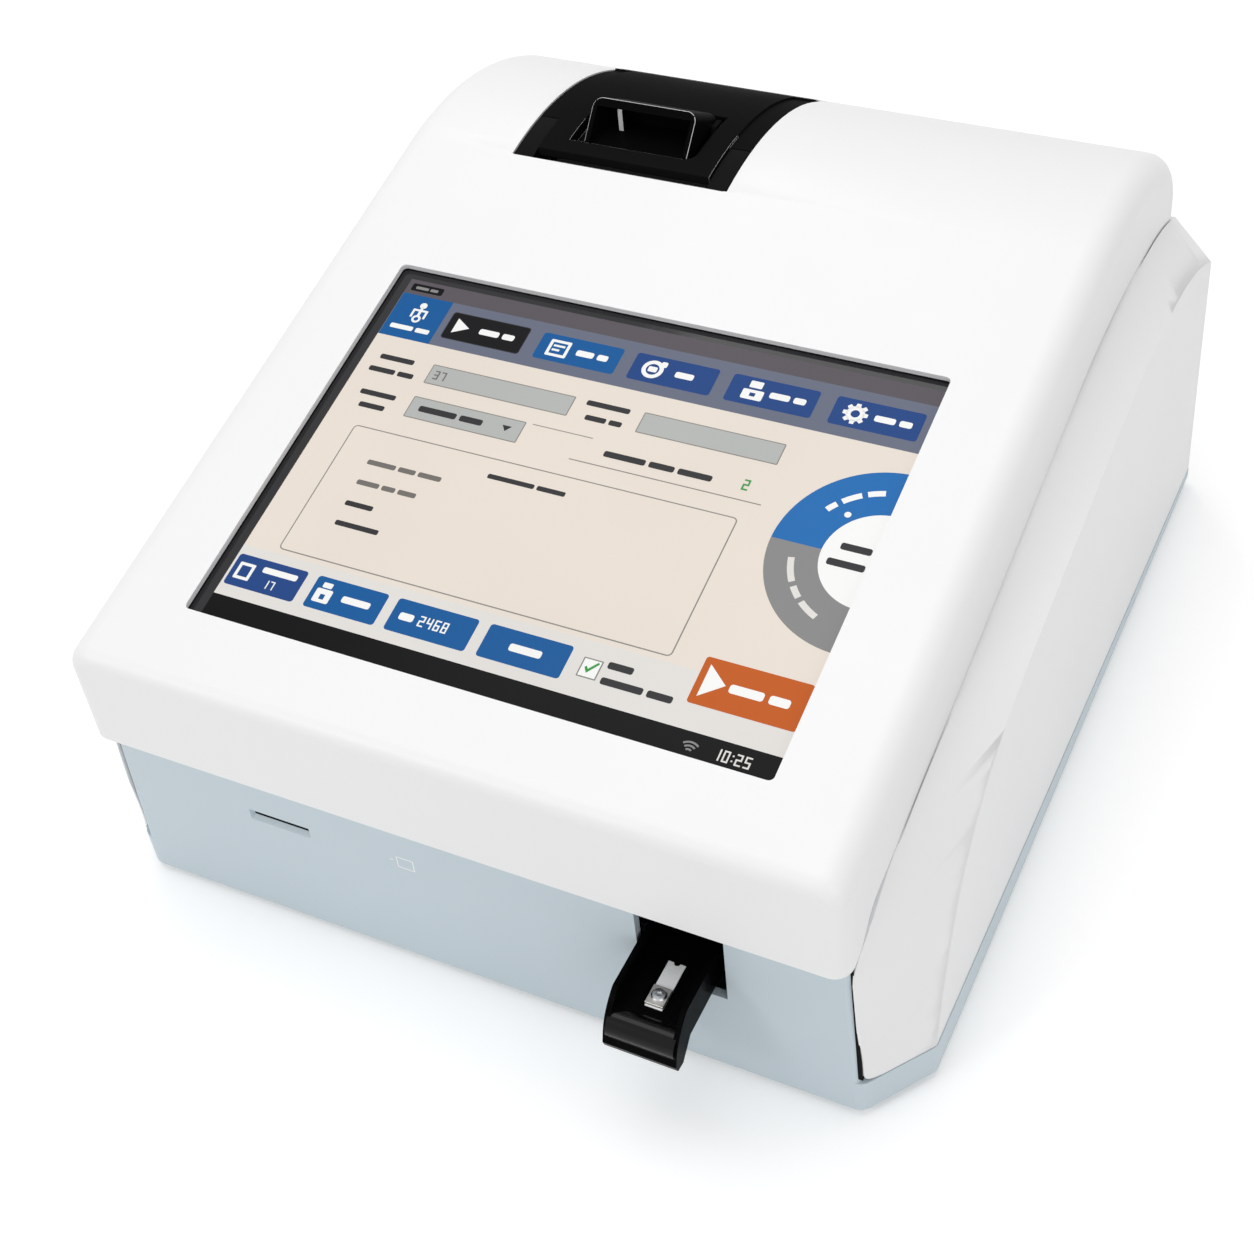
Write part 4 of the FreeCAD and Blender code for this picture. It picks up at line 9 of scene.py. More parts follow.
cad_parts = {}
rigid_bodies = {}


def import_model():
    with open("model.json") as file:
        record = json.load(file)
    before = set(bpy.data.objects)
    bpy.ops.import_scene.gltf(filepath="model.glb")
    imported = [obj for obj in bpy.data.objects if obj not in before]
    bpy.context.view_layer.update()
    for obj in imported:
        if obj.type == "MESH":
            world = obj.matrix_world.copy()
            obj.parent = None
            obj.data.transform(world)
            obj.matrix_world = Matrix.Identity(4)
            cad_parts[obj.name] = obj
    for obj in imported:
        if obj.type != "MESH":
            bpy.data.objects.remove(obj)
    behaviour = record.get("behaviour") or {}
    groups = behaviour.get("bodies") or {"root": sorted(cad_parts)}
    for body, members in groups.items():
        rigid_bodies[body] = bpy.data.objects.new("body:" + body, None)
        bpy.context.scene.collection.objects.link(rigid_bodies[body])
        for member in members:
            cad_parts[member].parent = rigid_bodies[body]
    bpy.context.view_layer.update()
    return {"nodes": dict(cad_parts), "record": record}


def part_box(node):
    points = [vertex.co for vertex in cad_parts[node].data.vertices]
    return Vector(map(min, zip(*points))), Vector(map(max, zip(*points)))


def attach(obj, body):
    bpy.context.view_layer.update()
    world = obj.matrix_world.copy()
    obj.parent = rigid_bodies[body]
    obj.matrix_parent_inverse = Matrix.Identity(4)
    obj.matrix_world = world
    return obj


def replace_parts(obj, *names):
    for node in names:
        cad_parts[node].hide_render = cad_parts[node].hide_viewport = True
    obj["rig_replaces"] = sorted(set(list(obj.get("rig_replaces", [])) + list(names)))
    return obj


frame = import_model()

bl_info = {
    "name": "Rapid Test Reader",
    "version": (1, 0, 0),
    "blender": (4, 5, 0),
    "location": "View3D > Sidebar > Test Reader",
    "description": "Dresses the packed test reader: case, display, tray, printer, sockets and its stage",
    "category": "Object",
}

NODES = frame["nodes"]
RECORD = frame["record"]
BODY_OF = {node: body for body, nodes in RECORD["behaviour"]["bodies"].items() for node in nodes}
SLOT_OF = {part["node"]: part["material_slot"] for part in RECORD["subparts"]}

# ---- places shared with the solids, in mm, drawn from the cover's front lip --------------------------------
ORIGIN = Vector((0.0, -129.0, 1.5))
SLOPE = math.radians(12.66)             # of the cover's window side
LIP_TOP = 94.4
GLASS_LEVEL = -2.0                      # of the touch glass, below the cover's slope
BASE_FRONT = 5.7
FOOT_PLACES = [(-99.2, 46.0), (-99.2, 242.0), (99.2, 46.0), (99.2, 242.0)]
SCREW_PLACES = [(-97.7, 22.0), (-97.7, 254.0), (97.7, 22.0), (97.7, 254.0)]
TRAY_CENTRE = 61.3
THUMB_CENTRE = (-13.4, 35.7)            # y and z of the tray's thumb roll
THUMB_RADIUS = 4.2
THUMB_HALF = 8.5                        # half of its width
LEVER_SILL = (202.3, 139.0)             # y and z of the lever's mouth at its foot
LEVER_BROW = (211.6, 148.8)             # and at its top
LEVER_TAIL = (225.0, 141.0)             # and of the end of its roof
LEVER_RIB = -44.0
LEVER_MIDDLE = -35.1
LEVER_OUTER = 15.9                      # its outer edges lie this far from its middle, or further
RIB_DEPTH = 7.0                         # how far behind the mouth the rib's front edges reach
POCKET_FRONT = 201.4
POCKET_LEFT = -56.2
TONGUE_RIGHT = -8.55
DOOR_BACK = 211.4
DOOR_TOP = 134.0                        # the door's edges with a painted highlight lie above this

# ---- sizes of what the solids leave out, in mm -------------------------------------------------------------
# A dark strip of painted shade fills the front gap of each side panel.
SHADE_STRIP_FOOT = (109.24, 14.6)              # x and z of the base's wall at the foot of the panel's front gap
SHADE_STRIP_HEAD = (106.9, 60.5)               # and at its head
# steps out from that wall, and y, round the strip's foot and its head
SHADE_STRIP_FOOT_RING = [(0.72, 7.7), (0.02, 7.7), (-0.15, 6.9), (-0.5, 6.35), (0.72, 6.35)]
SHADE_STRIP_HEAD_RING = [(0.6, 8.4), (0.02, 8.4), (-0.1, 7.5), (-0.25, 6.8), (0.6, 6.8)]
SHADE_STRIP_CLEAR = 0.02                       # how far a painted shade strip that is set back keeps off the base's wall
SHADE_STRIP_SET_BACK = {-1: 1.5, 1: 0.0}       # behind the gap's front, left and right
CARD_PAINTED_SHADE = (-65.9, -47.5, 40.4, 43.3)    # left, right, foot and head of the painted shade slab in the card slot's throat
CARD_DEPTH = 1.35                       # and how far behind the base's front it stands
CARD_SHADE_THICKNESS = 0.3
CARD_OUTLINE = (-19.6, -14.4, 40.2, 44.5)   # left, right, foot and head of the printed card
CARD_LINE = 0.27
CARD_DASH = (-21.8, -20.7, 42.5, 42.75)
PRINT_SUNK, PRINT_RAISED = 0.02, 0.03   # how a printed mark sits in and stands on its surface
PICTURE = (-78.5, 82.0, 22.8, 144.3)    # left, right, foot and head of the lit picture, along the slope

# ---- and in metres -----------------------------------------------------------------------------------------
# radius and height over the underside, from the foot's hollow outwards
FOOT_PROFILE = [(0.0052, 0.0004), (0.0056, 0.0), (0.0072, 0.0), (0.0078, 0.0005)]
FOOT_TOP_RADIUS = 0.0080
CLAMP_SCREW_PROFILE = [(0.0, 0.0), (0.0020, 0.0), (0.0020, 0.0006), (0.00165, 0.00098), (0.0008, 0.00108),
                       (0.0007, 0.0006), (0.0, 0.00055)]
CASE_SCREW = {"Head radius": 0.003, "Head height": 0.0019, "Shank radius": 0.00145, "Shank length": 0.05}
MERGE_DISTANCE = 0.000002

# ---- the camera --------------------------------------------------------------------------------------------
CAMERA_TURN, CAMERA_HEIGHT, CAMERA_ROLL = math.radians(30.42), math.radians(43.84), math.radians(-6.83)
CAMERA_AIM = (0.04, 105.09, 44.34)
CAMERA_DISTANCE = 0.57258
CAMERA_LENS = 1978.48                   # focal length in pixels of the frame
FRAME_WIDTH = 1254
SENSOR_WIDTH = 36.0


def at(x, y, z):
    """A point of the reader in metres, from mm measured from the cover's lip."""
    return (Vector((x, y, z)) + ORIGIN) * 0.001


def on_slope(x, along, height):
    """A point on the cover's slope: mm from the middle, along the slope from the lip, and above its face."""
    y = along * math.cos(SLOPE) - height * math.sin(SLOPE)
    z = LIP_TOP + along * math.sin(SLOPE) + height * math.cos(SLOPE)
    return at(x, y, z)


# ---- shared shader effects ---------------------------------------------------------------------------------
def new_group(name, inputs, outputs):
    """An empty shader group with float or colour sockets."""
    tree = bpy.data.node_groups.new(name, "ShaderNodeTree")
    for label, kind, value in inputs:
        socket = tree.interface.new_socket(name=label, in_out="INPUT", socket_type=kind)
        socket.default_value = value
    for label, kind in outputs:
        tree.interface.new_socket(name=label, in_out="OUTPUT", socket_type=kind)
    return tree, tree.nodes.new("NodeGroupInput"), tree.nodes.new("NodeGroupOutput")


def noise(tree, coords, scale, detail, roughness=0.5):
    """A noise texture's value; the scale is a number or a socket."""
    node = tree.nodes.new("ShaderNodeTexNoise")
    node.inputs["Detail"].default_value = detail
    node.inputs["Roughness"].default_value = roughness
    tree.links.new(coords, node.inputs["Vector"])
    if isinstance(scale, (int, float)):
        node.inputs["Scale"].default_value = scale
    else:
        tree.links.new(scale, node.inputs["Scale"])
    return node.outputs["Fac"]


def maths(tree, operation, first, second, third=0.5):
    """A maths node's result; each value is a number or a socket."""
    node = tree.nodes.new("ShaderNodeMath")
    node.operation = operation
    for number, value in enumerate((first, second, third)):
        if isinstance(value, (int, float)):
            node.inputs[number].default_value = value
        else:
            tree.links.new(value, node.inputs[number])
    return node.outputs[0]


def spread(tree, value, low, high, start, end):
    """Maps a value from start..end to low..high, held at the ends."""
    node = tree.nodes.new("ShaderNodeMapRange")
    node.inputs["From Min"].default_value = start
    node.inputs["From Max"].default_value = end
    tree.links.new(value, node.inputs["Value"])
    for label, number in (("To Min", low), ("To Max", high)):
        if isinstance(number, (int, float)):
            node.inputs[label].default_value = number
        else:
            tree.links.new(number, node.inputs[label])
    return node.outputs["Result"]


def tinted(tree, mask, first, second):
    """Mixes two colours by a mask."""
    node = tree.nodes.new("ShaderNodeMix")
    node.data_type = "RGBA"
    tree.links.new(mask, node.inputs["Factor"])
    for socket, value in ((node.inputs[6], first), (node.inputs[7], second)):
        if isinstance(value, (tuple, list)):
            socket.default_value = tuple(value[:3]) + (1.0,)
        else:
            tree.links.new(value, socket)
    return node.outputs[2]


def object_coords(tree):
    """Places on the piece, so that patterns stay put when its body moves."""
    return tree.nodes.new("ShaderNodeTexCoord").outputs["Object"]


def moulded_grain():
    """Spark-eroded mould texture: a height for the bump and a roughness that follows it."""
    tree, start, end = new_group("Moulded grain",
                                 [("Scale", "NodeSocketFloat", 2500.0), ("Smooth", "NodeSocketFloat", 0.4),
                                  ("Rough", "NodeSocketFloat", 0.5)],
                                 [("Height", "NodeSocketFloat"), ("Roughness", "NodeSocketFloat")])
    coords = object_coords(tree)
    fine = noise(tree, coords, start.outputs["Scale"], 1.0)
    broad = noise(tree, coords, maths(tree, "MULTIPLY", start.outputs["Scale"], 0.012), 3.0)
    tree.links.new(fine, end.inputs["Height"])
    both = maths(tree, "ADD", maths(tree, "MULTIPLY", fine, 0.45), maths(tree, "MULTIPLY", broad, 0.55))
    tree.links.new(spread(tree, both, start.outputs["Smooth"], start.outputs["Rough"], 0.3, 0.7),
                   end.inputs["Roughness"])
    return tree


def tone_drift():
    """Slow change of tone over a moulding, with a faint handling haze."""
    tree, start, end = new_group("Tone drift",
                                 [("Colour", "NodeSocketColor", (0.8, 0.8, 0.8, 1.0)),
                                  ("Second colour", "NodeSocketColor", (0.7, 0.7, 0.7, 1.0)),
                                  ("Scale", "NodeSocketFloat", 9.0)],
                                 [("Colour", "NodeSocketColor"), ("Haze", "NodeSocketFloat")])
    coords = object_coords(tree)
    slow = noise(tree, coords, start.outputs["Scale"], 4.0, 0.6)
    haze = noise(tree, coords, maths(tree, "MULTIPLY", start.outputs["Scale"], 5.0), 5.0, 0.7)
    tree.links.new(tinted(tree, spread(tree, slow, 0.0, 1.0, 0.35, 0.7), start.outputs["Colour"],
                          start.outputs["Second colour"]), end.inputs["Colour"])
    tree.links.new(spread(tree, haze, 0.0, 1.0, 0.5, 0.8), end.inputs["Haze"])
    return tree


def drawn_lines():
    """Fine parallel lines of rolled or turned metal, along X."""
    tree, start, end = new_group("Drawn lines",
                                 [("Scale", "NodeSocketFloat", 900.0), ("Smooth", "NodeSocketFloat", 0.22),
                                  ("Rough", "NodeSocketFloat", 0.4)],
                                 [("Height", "NodeSocketFloat"), ("Roughness", "NodeSocketFloat")])
    mapping = tree.nodes.new("ShaderNodeMapping")
    mapping.inputs["Scale"].default_value = (0.03, 1.0, 1.0)
    tree.links.new(object_coords(tree), mapping.inputs["Vector"])
    lines = noise(tree, mapping.outputs["Vector"], start.outputs["Scale"], 3.0, 0.6)
    tree.links.new(lines, end.inputs["Height"])
    tree.links.new(spread(tree, lines, start.outputs["Smooth"], start.outputs["Rough"], 0.3, 0.7),
                   end.inputs["Roughness"])
    return tree


GROUPS = {}


def shared(name):
    """A shader group, built when it is first asked for."""
    makers = {"grain": moulded_grain, "drift": tone_drift, "lines": drawn_lines}
    if name not in GROUPS:
        GROUPS[name] = makers[name]()
    return GROUPS[name]


def place_group(tree, name, **values):
    """Places a shared group in a material; an underscore in a value's name stands for a space."""
    node = tree.nodes.new("ShaderNodeGroup")
    node.node_tree = shared(name)
    for label, value in values.items():
        socket = node.inputs[label.replace("_", " ")]
        socket.default_value = tuple(value[:3]) + (1.0,) if isinstance(value, (tuple, list)) else value
    return node


# ---- finishes ----------------------------------------------------------------------------------------------
def new_finish(name):
    """An empty material with its shader joined to its output."""
    material = bpy.data.materials.new(name)
    material.use_nodes = True
    tree = material.node_tree
    tree.nodes.clear()
    shader = tree.nodes.new("ShaderNodeBsdfPrincipled")
    out = tree.nodes.new("ShaderNodeOutputMaterial")
    tree.links.new(shader.outputs["BSDF"], out.inputs["Surface"])
    return material, tree, shader


def bumped(tree, shader, height, strength, distance):
    """Leads a height to the shader's normal."""
    bump = tree.nodes.new("ShaderNodeBump")
    bump.inputs["Strength"].default_value = strength
    bump.inputs["Distance"].default_value = distance
    tree.links.new(height, bump.inputs["Height"])
    tree.links.new(bump.outputs["Normal"], shader.inputs["Normal"])


def moulding(name, colour, second, smooth, rough, scale=2500.0, depth=0.15, specular=0.5, metallic=0.0):
    """Moulded plastic or rubber with grain, slow tone drift and a handling haze."""
    material, tree, shader = new_finish(name)
    grain = place_group(tree, "grain", Scale=scale, Smooth=smooth, Rough=rough)
    drift = place_group(tree, "drift", Colour=colour, Second_colour=second)
    tree.links.new(drift.outputs["Colour"], shader.inputs["Base Color"])
    haze = maths(tree, "MULTIPLY_ADD", drift.outputs["Haze"], 0.06, grain.outputs["Roughness"])
    tree.links.new(haze, shader.inputs["Roughness"])
    shader.inputs["Specular IOR Level"].default_value = specular
    shader.inputs["Metallic"].default_value = metallic
    bumped(tree, shader, grain.outputs["Height"], depth, 0.00003)
    return material


def metal(name, colour, second, smooth, rough, scale=900.0, depth=0.1):
    """Rolled, plated or turned metal with fine lines."""
    material, tree, shader = new_finish(name)
    lines = place_group(tree, "lines", Scale=scale, Smooth=smooth, Rough=rough)
    drift = place_group(tree, "drift", Colour=colour, Second_colour=second, Scale=40.0)
    tree.links.new(drift.outputs["Colour"], shader.inputs["Base Color"])
    haze = maths(tree, "MULTIPLY_ADD", drift.outputs["Haze"], 0.08, lines.outputs["Roughness"])
    tree.links.new(haze, shader.inputs["Roughness"])
    shader.inputs["Metallic"].default_value = 1.0
    bumped(tree, shader, lines.outputs["Height"], depth, 0.00002)
    return material


def circuit_board(name):
    """Green solder resist with copper tracks under it and rows of pads."""
    material, tree, shader = new_finish(name)
    coords = object_coords(tree)
    tracks = tree.nodes.new("ShaderNodeTexBrick")
    tracks.offset = 0.37
    tracks.inputs["Scale"].default_value = 240.0
    tracks.inputs["Mortar Size"].default_value = 0.06
    tracks.inputs["Color1"].default_value = (0.010, 0.105, 0.040, 1.0)
    tracks.inputs["Color2"].default_value = (0.014, 0.135, 0.052, 1.0)
    tracks.inputs["Mortar"].default_value = (0.035, 0.22, 0.085, 1.0)
    tree.links.new(coords, tracks.inputs["Vector"])
    pads = tree.nodes.new("ShaderNodeTexVoronoi")
    pads.inputs["Scale"].default_value = 300.0
    pads.inputs["Randomness"].default_value = 0.25
    tree.links.new(coords, pads.inputs["Vector"])
    dots = maths(tree, "LESS_THAN", pads.outputs["Distance"], 0.17)
    tree.links.new(tinted(tree, dots, tracks.outputs["Color"], (0.62, 0.6, 0.52)), shader.inputs["Base Color"])
    tree.links.new(dots, shader.inputs["Metallic"])
    grain = place_group(tree, "grain", Scale=900.0, Smooth=0.28, Rough=0.4)
    tree.links.new(grain.outputs["Roughness"], shader.inputs["Roughness"])
    bumped(tree, shader, tracks.outputs["Fac"], 0.2, 0.00004)
    return material


def clear_filter(name, colour):
    """Tinted glass of the optics' filter."""
    material, tree, shader = new_finish(name)
    shader.inputs["Base Color"].default_value = tuple(colour) + (1.0,)
    shader.inputs["Transmission Weight"].default_value = 1.0
    shader.inputs["IOR"].default_value = 1.5
    grain = place_group(tree, "grain", Scale=400.0, Smooth=0.02, Rough=0.06)
    tree.links.new(grain.outputs["Roughness"], shader.inputs["Roughness"])
    return material


def lit_ink(name, colour, glow):
    """One colour of the lit picture: pigment for the room's light, the rest of it from the backlight."""
    material, tree, shader = new_finish(name)
    coords = object_coords(tree)
    slow = noise(tree, coords, 14.0, 2.0)
    cells = noise(tree, coords, 5200.0, 0.0)
    shade = tuple(channel * 0.95 for channel in colour)
    mask = spread(tree, slow, 0.0, 1.0, 0.3, 0.7)
    pigment = tinted(tree, mask, [channel * (1 - glow) for channel in colour],
                     [channel * (1 - glow) for channel in shade])
    tree.links.new(pigment, shader.inputs["Base Color"])
    tree.links.new(tinted(tree, mask, colour, shade), shader.inputs["Emission Color"])
    shader.inputs["Emission Strength"].default_value = glow
    shader.inputs["Specular IOR Level"].default_value = 0.05
    tree.links.new(spread(tree, cells, 0.16, 0.24, 0.3, 0.7), shader.inputs["Roughness"])
    return material


def srgb(text):
    """Linear colour from a six-figure hexadecimal code."""
    channels = []
    for start in (0, 2, 4):
        value = int(text[start:start + 2], 16) / 255
        channels.append(value / 12.92 if value <= 0.04045 else ((value + 0.055) / 1.055) ** 2.4)
    return tuple(channels)


def make_finishes(paint):
    """Every finish by the record's slot name."""
    white = tuple(paint.cover_colour)
    blue = tuple(paint.base_colour)
    black = tuple(paint.printer_colour)
    return {
        "cover_white": moulding("Cover white", white, [c * 0.985 for c in white], 0.36, 0.46, 2600.0, 0.12),
        "base_blue": moulding("Base blue", blue, [c * 0.97 for c in blue], 0.38, 0.5, 2400.0, 0.14),
        "printer_black": moulding("Printer black", black, [c * 1.4 for c in black], 0.42, 0.52, 3000.0, 0.3,
                                  specular=0.03),
        "tray_black": moulding("Tray black", (0.0016, 0.0017, 0.0018), (0.0022, 0.0023, 0.0024), 0.16, 0.24, 900.0,
                               0.05, specular=0.012),
        "rubber": moulding("Foot rubber", (0.022, 0.022, 0.023), (0.034, 0.033, 0.032), 0.7, 0.85, 1500.0, 0.5),
        "seal": moulding("Window seal", (0.012, 0.012, 0.013), (0.02, 0.02, 0.02), 0.6, 0.75, 1500.0, 0.3),
        "screen": moulding("Touch glass", (0.010, 0.010, 0.012), (0.013, 0.013, 0.015), 0.05, 0.09, 700.0, 0.02,
                           specular=0.35),
        "socket_black": moulding("Socket black", (0.014, 0.014, 0.015), (0.022, 0.022, 0.022), 0.35, 0.5, 2000.0,
                                 0.25),
        "leaf_white": moulding("Leaf strip", (0.95, 0.955, 0.96), (0.9, 0.905, 0.91), 0.22, 0.32, 1200.0, 0.08),
        "gear_white": moulding("Gear acetal", (0.78, 0.75, 0.67), (0.72, 0.69, 0.6), 0.32, 0.42, 1500.0, 0.1),
        "carriage_grey": moulding("Carriage grey", (0.07, 0.071, 0.075), (0.085, 0.085, 0.09), 0.36, 0.48, 1800.0,
                                  0.2),
        "platen_rubber": moulding("Platen rubber", (0.018, 0.018, 0.018), (0.028, 0.027, 0.026), 0.55, 0.7, 2200.0,
                                  0.35),
        "paper": moulding("Ticket paper", (0.88, 0.87, 0.84), (0.82, 0.81, 0.78), 0.75, 0.9, 1300.0, 0.4,
                          specular=0.2),
        "head_ceramic": moulding("Head ceramic", (0.32, 0.32, 0.33), (0.26, 0.26, 0.27), 0.2, 0.32, 1400.0, 0.1,
                                 metallic=0.4),
        "steel": metal("Bright steel", (0.56, 0.56, 0.57), (0.48, 0.48, 0.5), 0.18, 0.32),
        "socket_steel": metal("Socket steel", (0.58, 0.58, 0.57), (0.5, 0.5, 0.5), 0.25, 0.4, 1400.0),
        "clamp_metal": metal("Clamp plate metal", (0.66, 0.64, 0.6), (0.55, 0.53, 0.5), 0.26, 0.42, 1600.0, 0.2),
        "zinc_sheet": metal("Zinc sheet", (0.5, 0.52, 0.53), (0.4, 0.42, 0.45), 0.3, 0.48, 500.0, 0.15),
        "display_metal": metal("Display can", (0.42, 0.42, 0.44), (0.36, 0.36, 0.38), 0.32, 0.45, 700.0),
        "alloy": metal("Milled alloy", (0.66, 0.66, 0.68), (0.58, 0.58, 0.61), 0.28, 0.42, 1100.0, 0.2),
        "motor_can": metal("Motor can", (0.38, 0.38, 0.39), (0.3, 0.3, 0.31), 0.3, 0.45, 800.0),
        "gear_brass": metal("Gear brass", (0.62, 0.45, 0.17), (0.5, 0.36, 0.13), 0.22, 0.36, 1500.0),
        "board_green": circuit_board("Circuit board"),
        "filter_glass": clear_filter("Filter glass", (0.75, 0.35, 0.12)),
    }


FINISHES = {}


def finish_of(slot):
    """The finish of a slot, from a table made when it is first asked for."""
    if not FINISHES:
        FINISHES.update(make_finishes(bpy.context.scene.reader_paint))
    return FINISHES[slot]


# ---- making pieces -----------------------------------------------------------------------------------------
def new_piece(name, mesh, body, slot, replaced=(), materials=()):
    """Links a finished mesh as a piece on a body."""
    piece = bpy.data.objects.new(name, mesh)
    bpy.context.scene.collection.objects.link(piece)
    for number, material in enumerate(materials or [finish_of(slot)]):
        if number < len(mesh.materials):
            mesh.materials[number] = material
        else:
            mesh.materials.append(material)
    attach(piece, body)
    if replaced:
        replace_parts(piece, *replaced)


def plain_mesh(scratch, name):
    """The evaluated mesh of an object with live modifiers; the object is removed."""
    bpy.context.view_layer.update()
    graph = bpy.context.evaluated_depsgraph_get()
    mesh = bpy.data.meshes.new_from_object(scratch.evaluated_get(graph), preserve_all_data_layers=True,
                                           depsgraph=graph)
    mesh.name = name
    old = scratch.data
    bpy.data.objects.remove(scratch)
    if old.users == 0:
        bpy.data.meshes.remove(old)
    return mesh


def smoothed(node, rounding, segments, crease, lit_edge=None, lit_face=None, settle=None):
    """A node's solid as one merged mesh with rounded edges and smooth curves.

    Rounded edges that the edge test picks take the second material, a painted highlight; faces that the face test
    picks take it too, which is a painted highlight on the lever's rib and a glossier finish on the tray's thumb
    roll.
    settle(point) gives the place that a corner takes.
    """
    work = bmesh.new()
    work.from_mesh(NODES[node].data)
    bmesh.ops.remove_doubles(work, verts=work.verts, dist=MERGE_DISTANCE)
    if settle:
        for corner in work.verts:
            corner.co = settle(corner.co)
    bmesh.ops.dissolve_limit(work, angle_limit=math.radians(0.2), verts=work.verts, edges=work.edges)
    mesh = bpy.data.meshes.new(node + "_merged")
    work.to_mesh(mesh)
    work.free()
    scratch = bpy.data.objects.new(node + "_work", mesh)
    bpy.context.scene.collection.objects.link(scratch)
    mesh.shade_smooth()
    if rounding > 0:
        bevel = scratch.modifiers.new("Rounded edges", "BEVEL")
        bevel.limit_method = "ANGLE"
        bevel.angle_limit = math.radians(crease)
        bevel.width = rounding
        bevel.segments = segments
        bevel.use_clamp_overlap = True
        bevel.loop_slide = True
        if lit_edge or lit_face:
            mesh.materials.append(None)
            mesh.materials.append(None)
        if lit_edge:
            bevel.material = 1
    tidy = scratch.modifiers.new("Weighted normals", "WEIGHTED_NORMAL")
    tidy.weight = 60
    tidy.keep_sharp = True
    if rounding == 0:
        mesh.set_sharp_from_angle(angle=math.radians(crease))
    finished = plain_mesh(scratch, node)
    # Only the picked rounded edges keep the second material (painted highlight); picked faces take it as well.
    for face in finished.polygons:
        if face.material_index == 1 and not lit_edge(face.center):
            face.material_index = 0
        if lit_face and lit_face(face.center):
            face.material_index = 1
    return finished


def dress(node, rounding=0.0003, segments=2, crease=28.0, materials=(), **extras):
    """Stands a smoothed, rounded copy of a node in its place, on its own body."""
    mesh = smoothed(node, rounding, segments, crease, **extras)
    new_piece(node + "_skin", mesh, BODY_OF[node], SLOT_OF[node], (node,), materials)


def repaint(*nodes):
    """Gives CAD nodes that stay as they are their slot's finish."""
    for node in nodes:
        for place in NODES[node].material_slots:
            place.material = finish_of(SLOT_OF[node])


def mesh_of(work, name):
    """A mesh of what was modelled, its faces pointing outwards."""
    bmesh.ops.recalc_face_normals(work, faces=work.faces)
    mesh = bpy.data.meshes.new(name)
    work.to_mesh(mesh)
    work.free()
    return mesh


def add_slab(work, low, high, ink=0):
    """A closed slab between two rings of points."""
    lower = [work.verts.new(corner) for corner in low]
    upper = [work.verts.new(corner) for corner in high]
    faces = [work.faces.new(upper), work.faces.new(list(reversed(lower)))]
    for number in range(len(low)):
        after = (number + 1) % len(low)
        faces.append(work.faces.new([lower[number], lower[after], upper[after], upper[number]]))
    for face in faces:
        face.material_index = ink


def lathe(profile, centre, sides=48):
    """A closed turned solid about Z: profile is (radius, height) from the bottom's middle to the top's middle."""
    work = bmesh.new()
    rings = []
    for radius, height in profile:
        if radius < 1e-7:
            rings.append([work.verts.new(centre + Vector((0, 0, height)))])
            continue
        ring = []
        for side in range(sides):
            turn = 2 * math.pi * side / sides
            ring.append(work.verts.new(centre + Vector((radius * math.cos(turn), radius * math.sin(turn), height))))
        rings.append(ring)
    for first, second in zip(rings, rings[1:]):
        for side in range(sides):
            after = (side + 1) % sides
            corners = [first[side % len(first)], first[after % len(first)], second[after % len(second)],
                       second[side % len(second)]]
            unique = list(dict.fromkeys(corners))
            if len(unique) > 2:
                work.faces.new(unique)
    return work


# ---- sizes and colours that a user may change --------------------------------------------------------------
class ReaderPaint(bpy.types.PropertyGroup):
    """Colours and edge rounding of the case."""
    cover_colour: FloatVectorProperty(name="Cover", description="Colour of the cover and the side panels",
                                      subtype="COLOR", size=3, min=0.0, max=1.0, default=(0.86, 0.86, 0.865))
    base_colour: FloatVectorProperty(name="Base", description="Colour of the base and the rear panel",
                                     subtype="COLOR", size=3, min=0.0, max=1.0, default=(0.56, 0.65, 0.70))
    printer_colour: FloatVectorProperty(name="Printer", description="Colour of the printer's mouldings",
                                        subtype="COLOR", size=3, min=0.0, max=1.0, default=(0.0035, 0.0035, 0.0037))
    edge_rounding: FloatProperty(name="Edge rounding", description="Width of the rounding on the case's edges",
                                 unit="LENGTH", subtype="DISTANCE", min=0.0, max=0.002, default=0.0005,
                                 precision=5)
    edge_segments: IntProperty(name="Edge segments", description="Facets across a rounded edge", min=1, max=6,
                               default=2)


class ReaderScreen(bpy.types.PropertyGroup):
    """The lit picture behind the touch glass."""
    glow: FloatProperty(name="Glow", description="Share of the picture's light that comes from its backlight",
                        min=0.0, max=1.0, subtype="FACTOR", default=0.3)
    corner: FloatProperty(name="Button corner", description="Corner radius of the picture's buttons, in mm",
                          min=0.0, max=3.0, default=0.9)


class ReaderStage(bpy.types.PropertyGroup):
    """Floor, lamps and camera."""
    floor_colour: FloatVectorProperty(name="Floor", description="Colour of the plain floor", subtype="COLOR",
                                      size=3, min=0.0, max=1.0, default=(0.93, 0.93, 0.93))
    floor_white: FloatProperty(name="Floor white", description="White that the floor adds where it is seen",
                               min=0.0, max=1.0, default=0.2)
    top_lamp: FloatProperty(name="Top lamp", description="Power of the broad lamp overhead", unit="POWER",
                            min=0.0, max=100.0, default=8.6)
    front_lamp: FloatProperty(name="Front lamp", description="Power of the soft lamp at the front left",
                              unit="POWER", min=0.0, max=100.0, default=3.5)
    side_lamp: FloatProperty(name="Side lamp", description="Power of the soft lamp at the right", unit="POWER",
                             min=0.0, max=100.0, default=2.1)
    gloss_lamp: FloatProperty(name="Gloss lamp", description="Power of the small lamp that draws the highlights",
                              unit="POWER", min=0.0, max=100.0, default=0.8)
    room: FloatProperty(name="Room light", description="Strength of the even light from all round", min=0.0,
                        max=2.0, default=0.56)


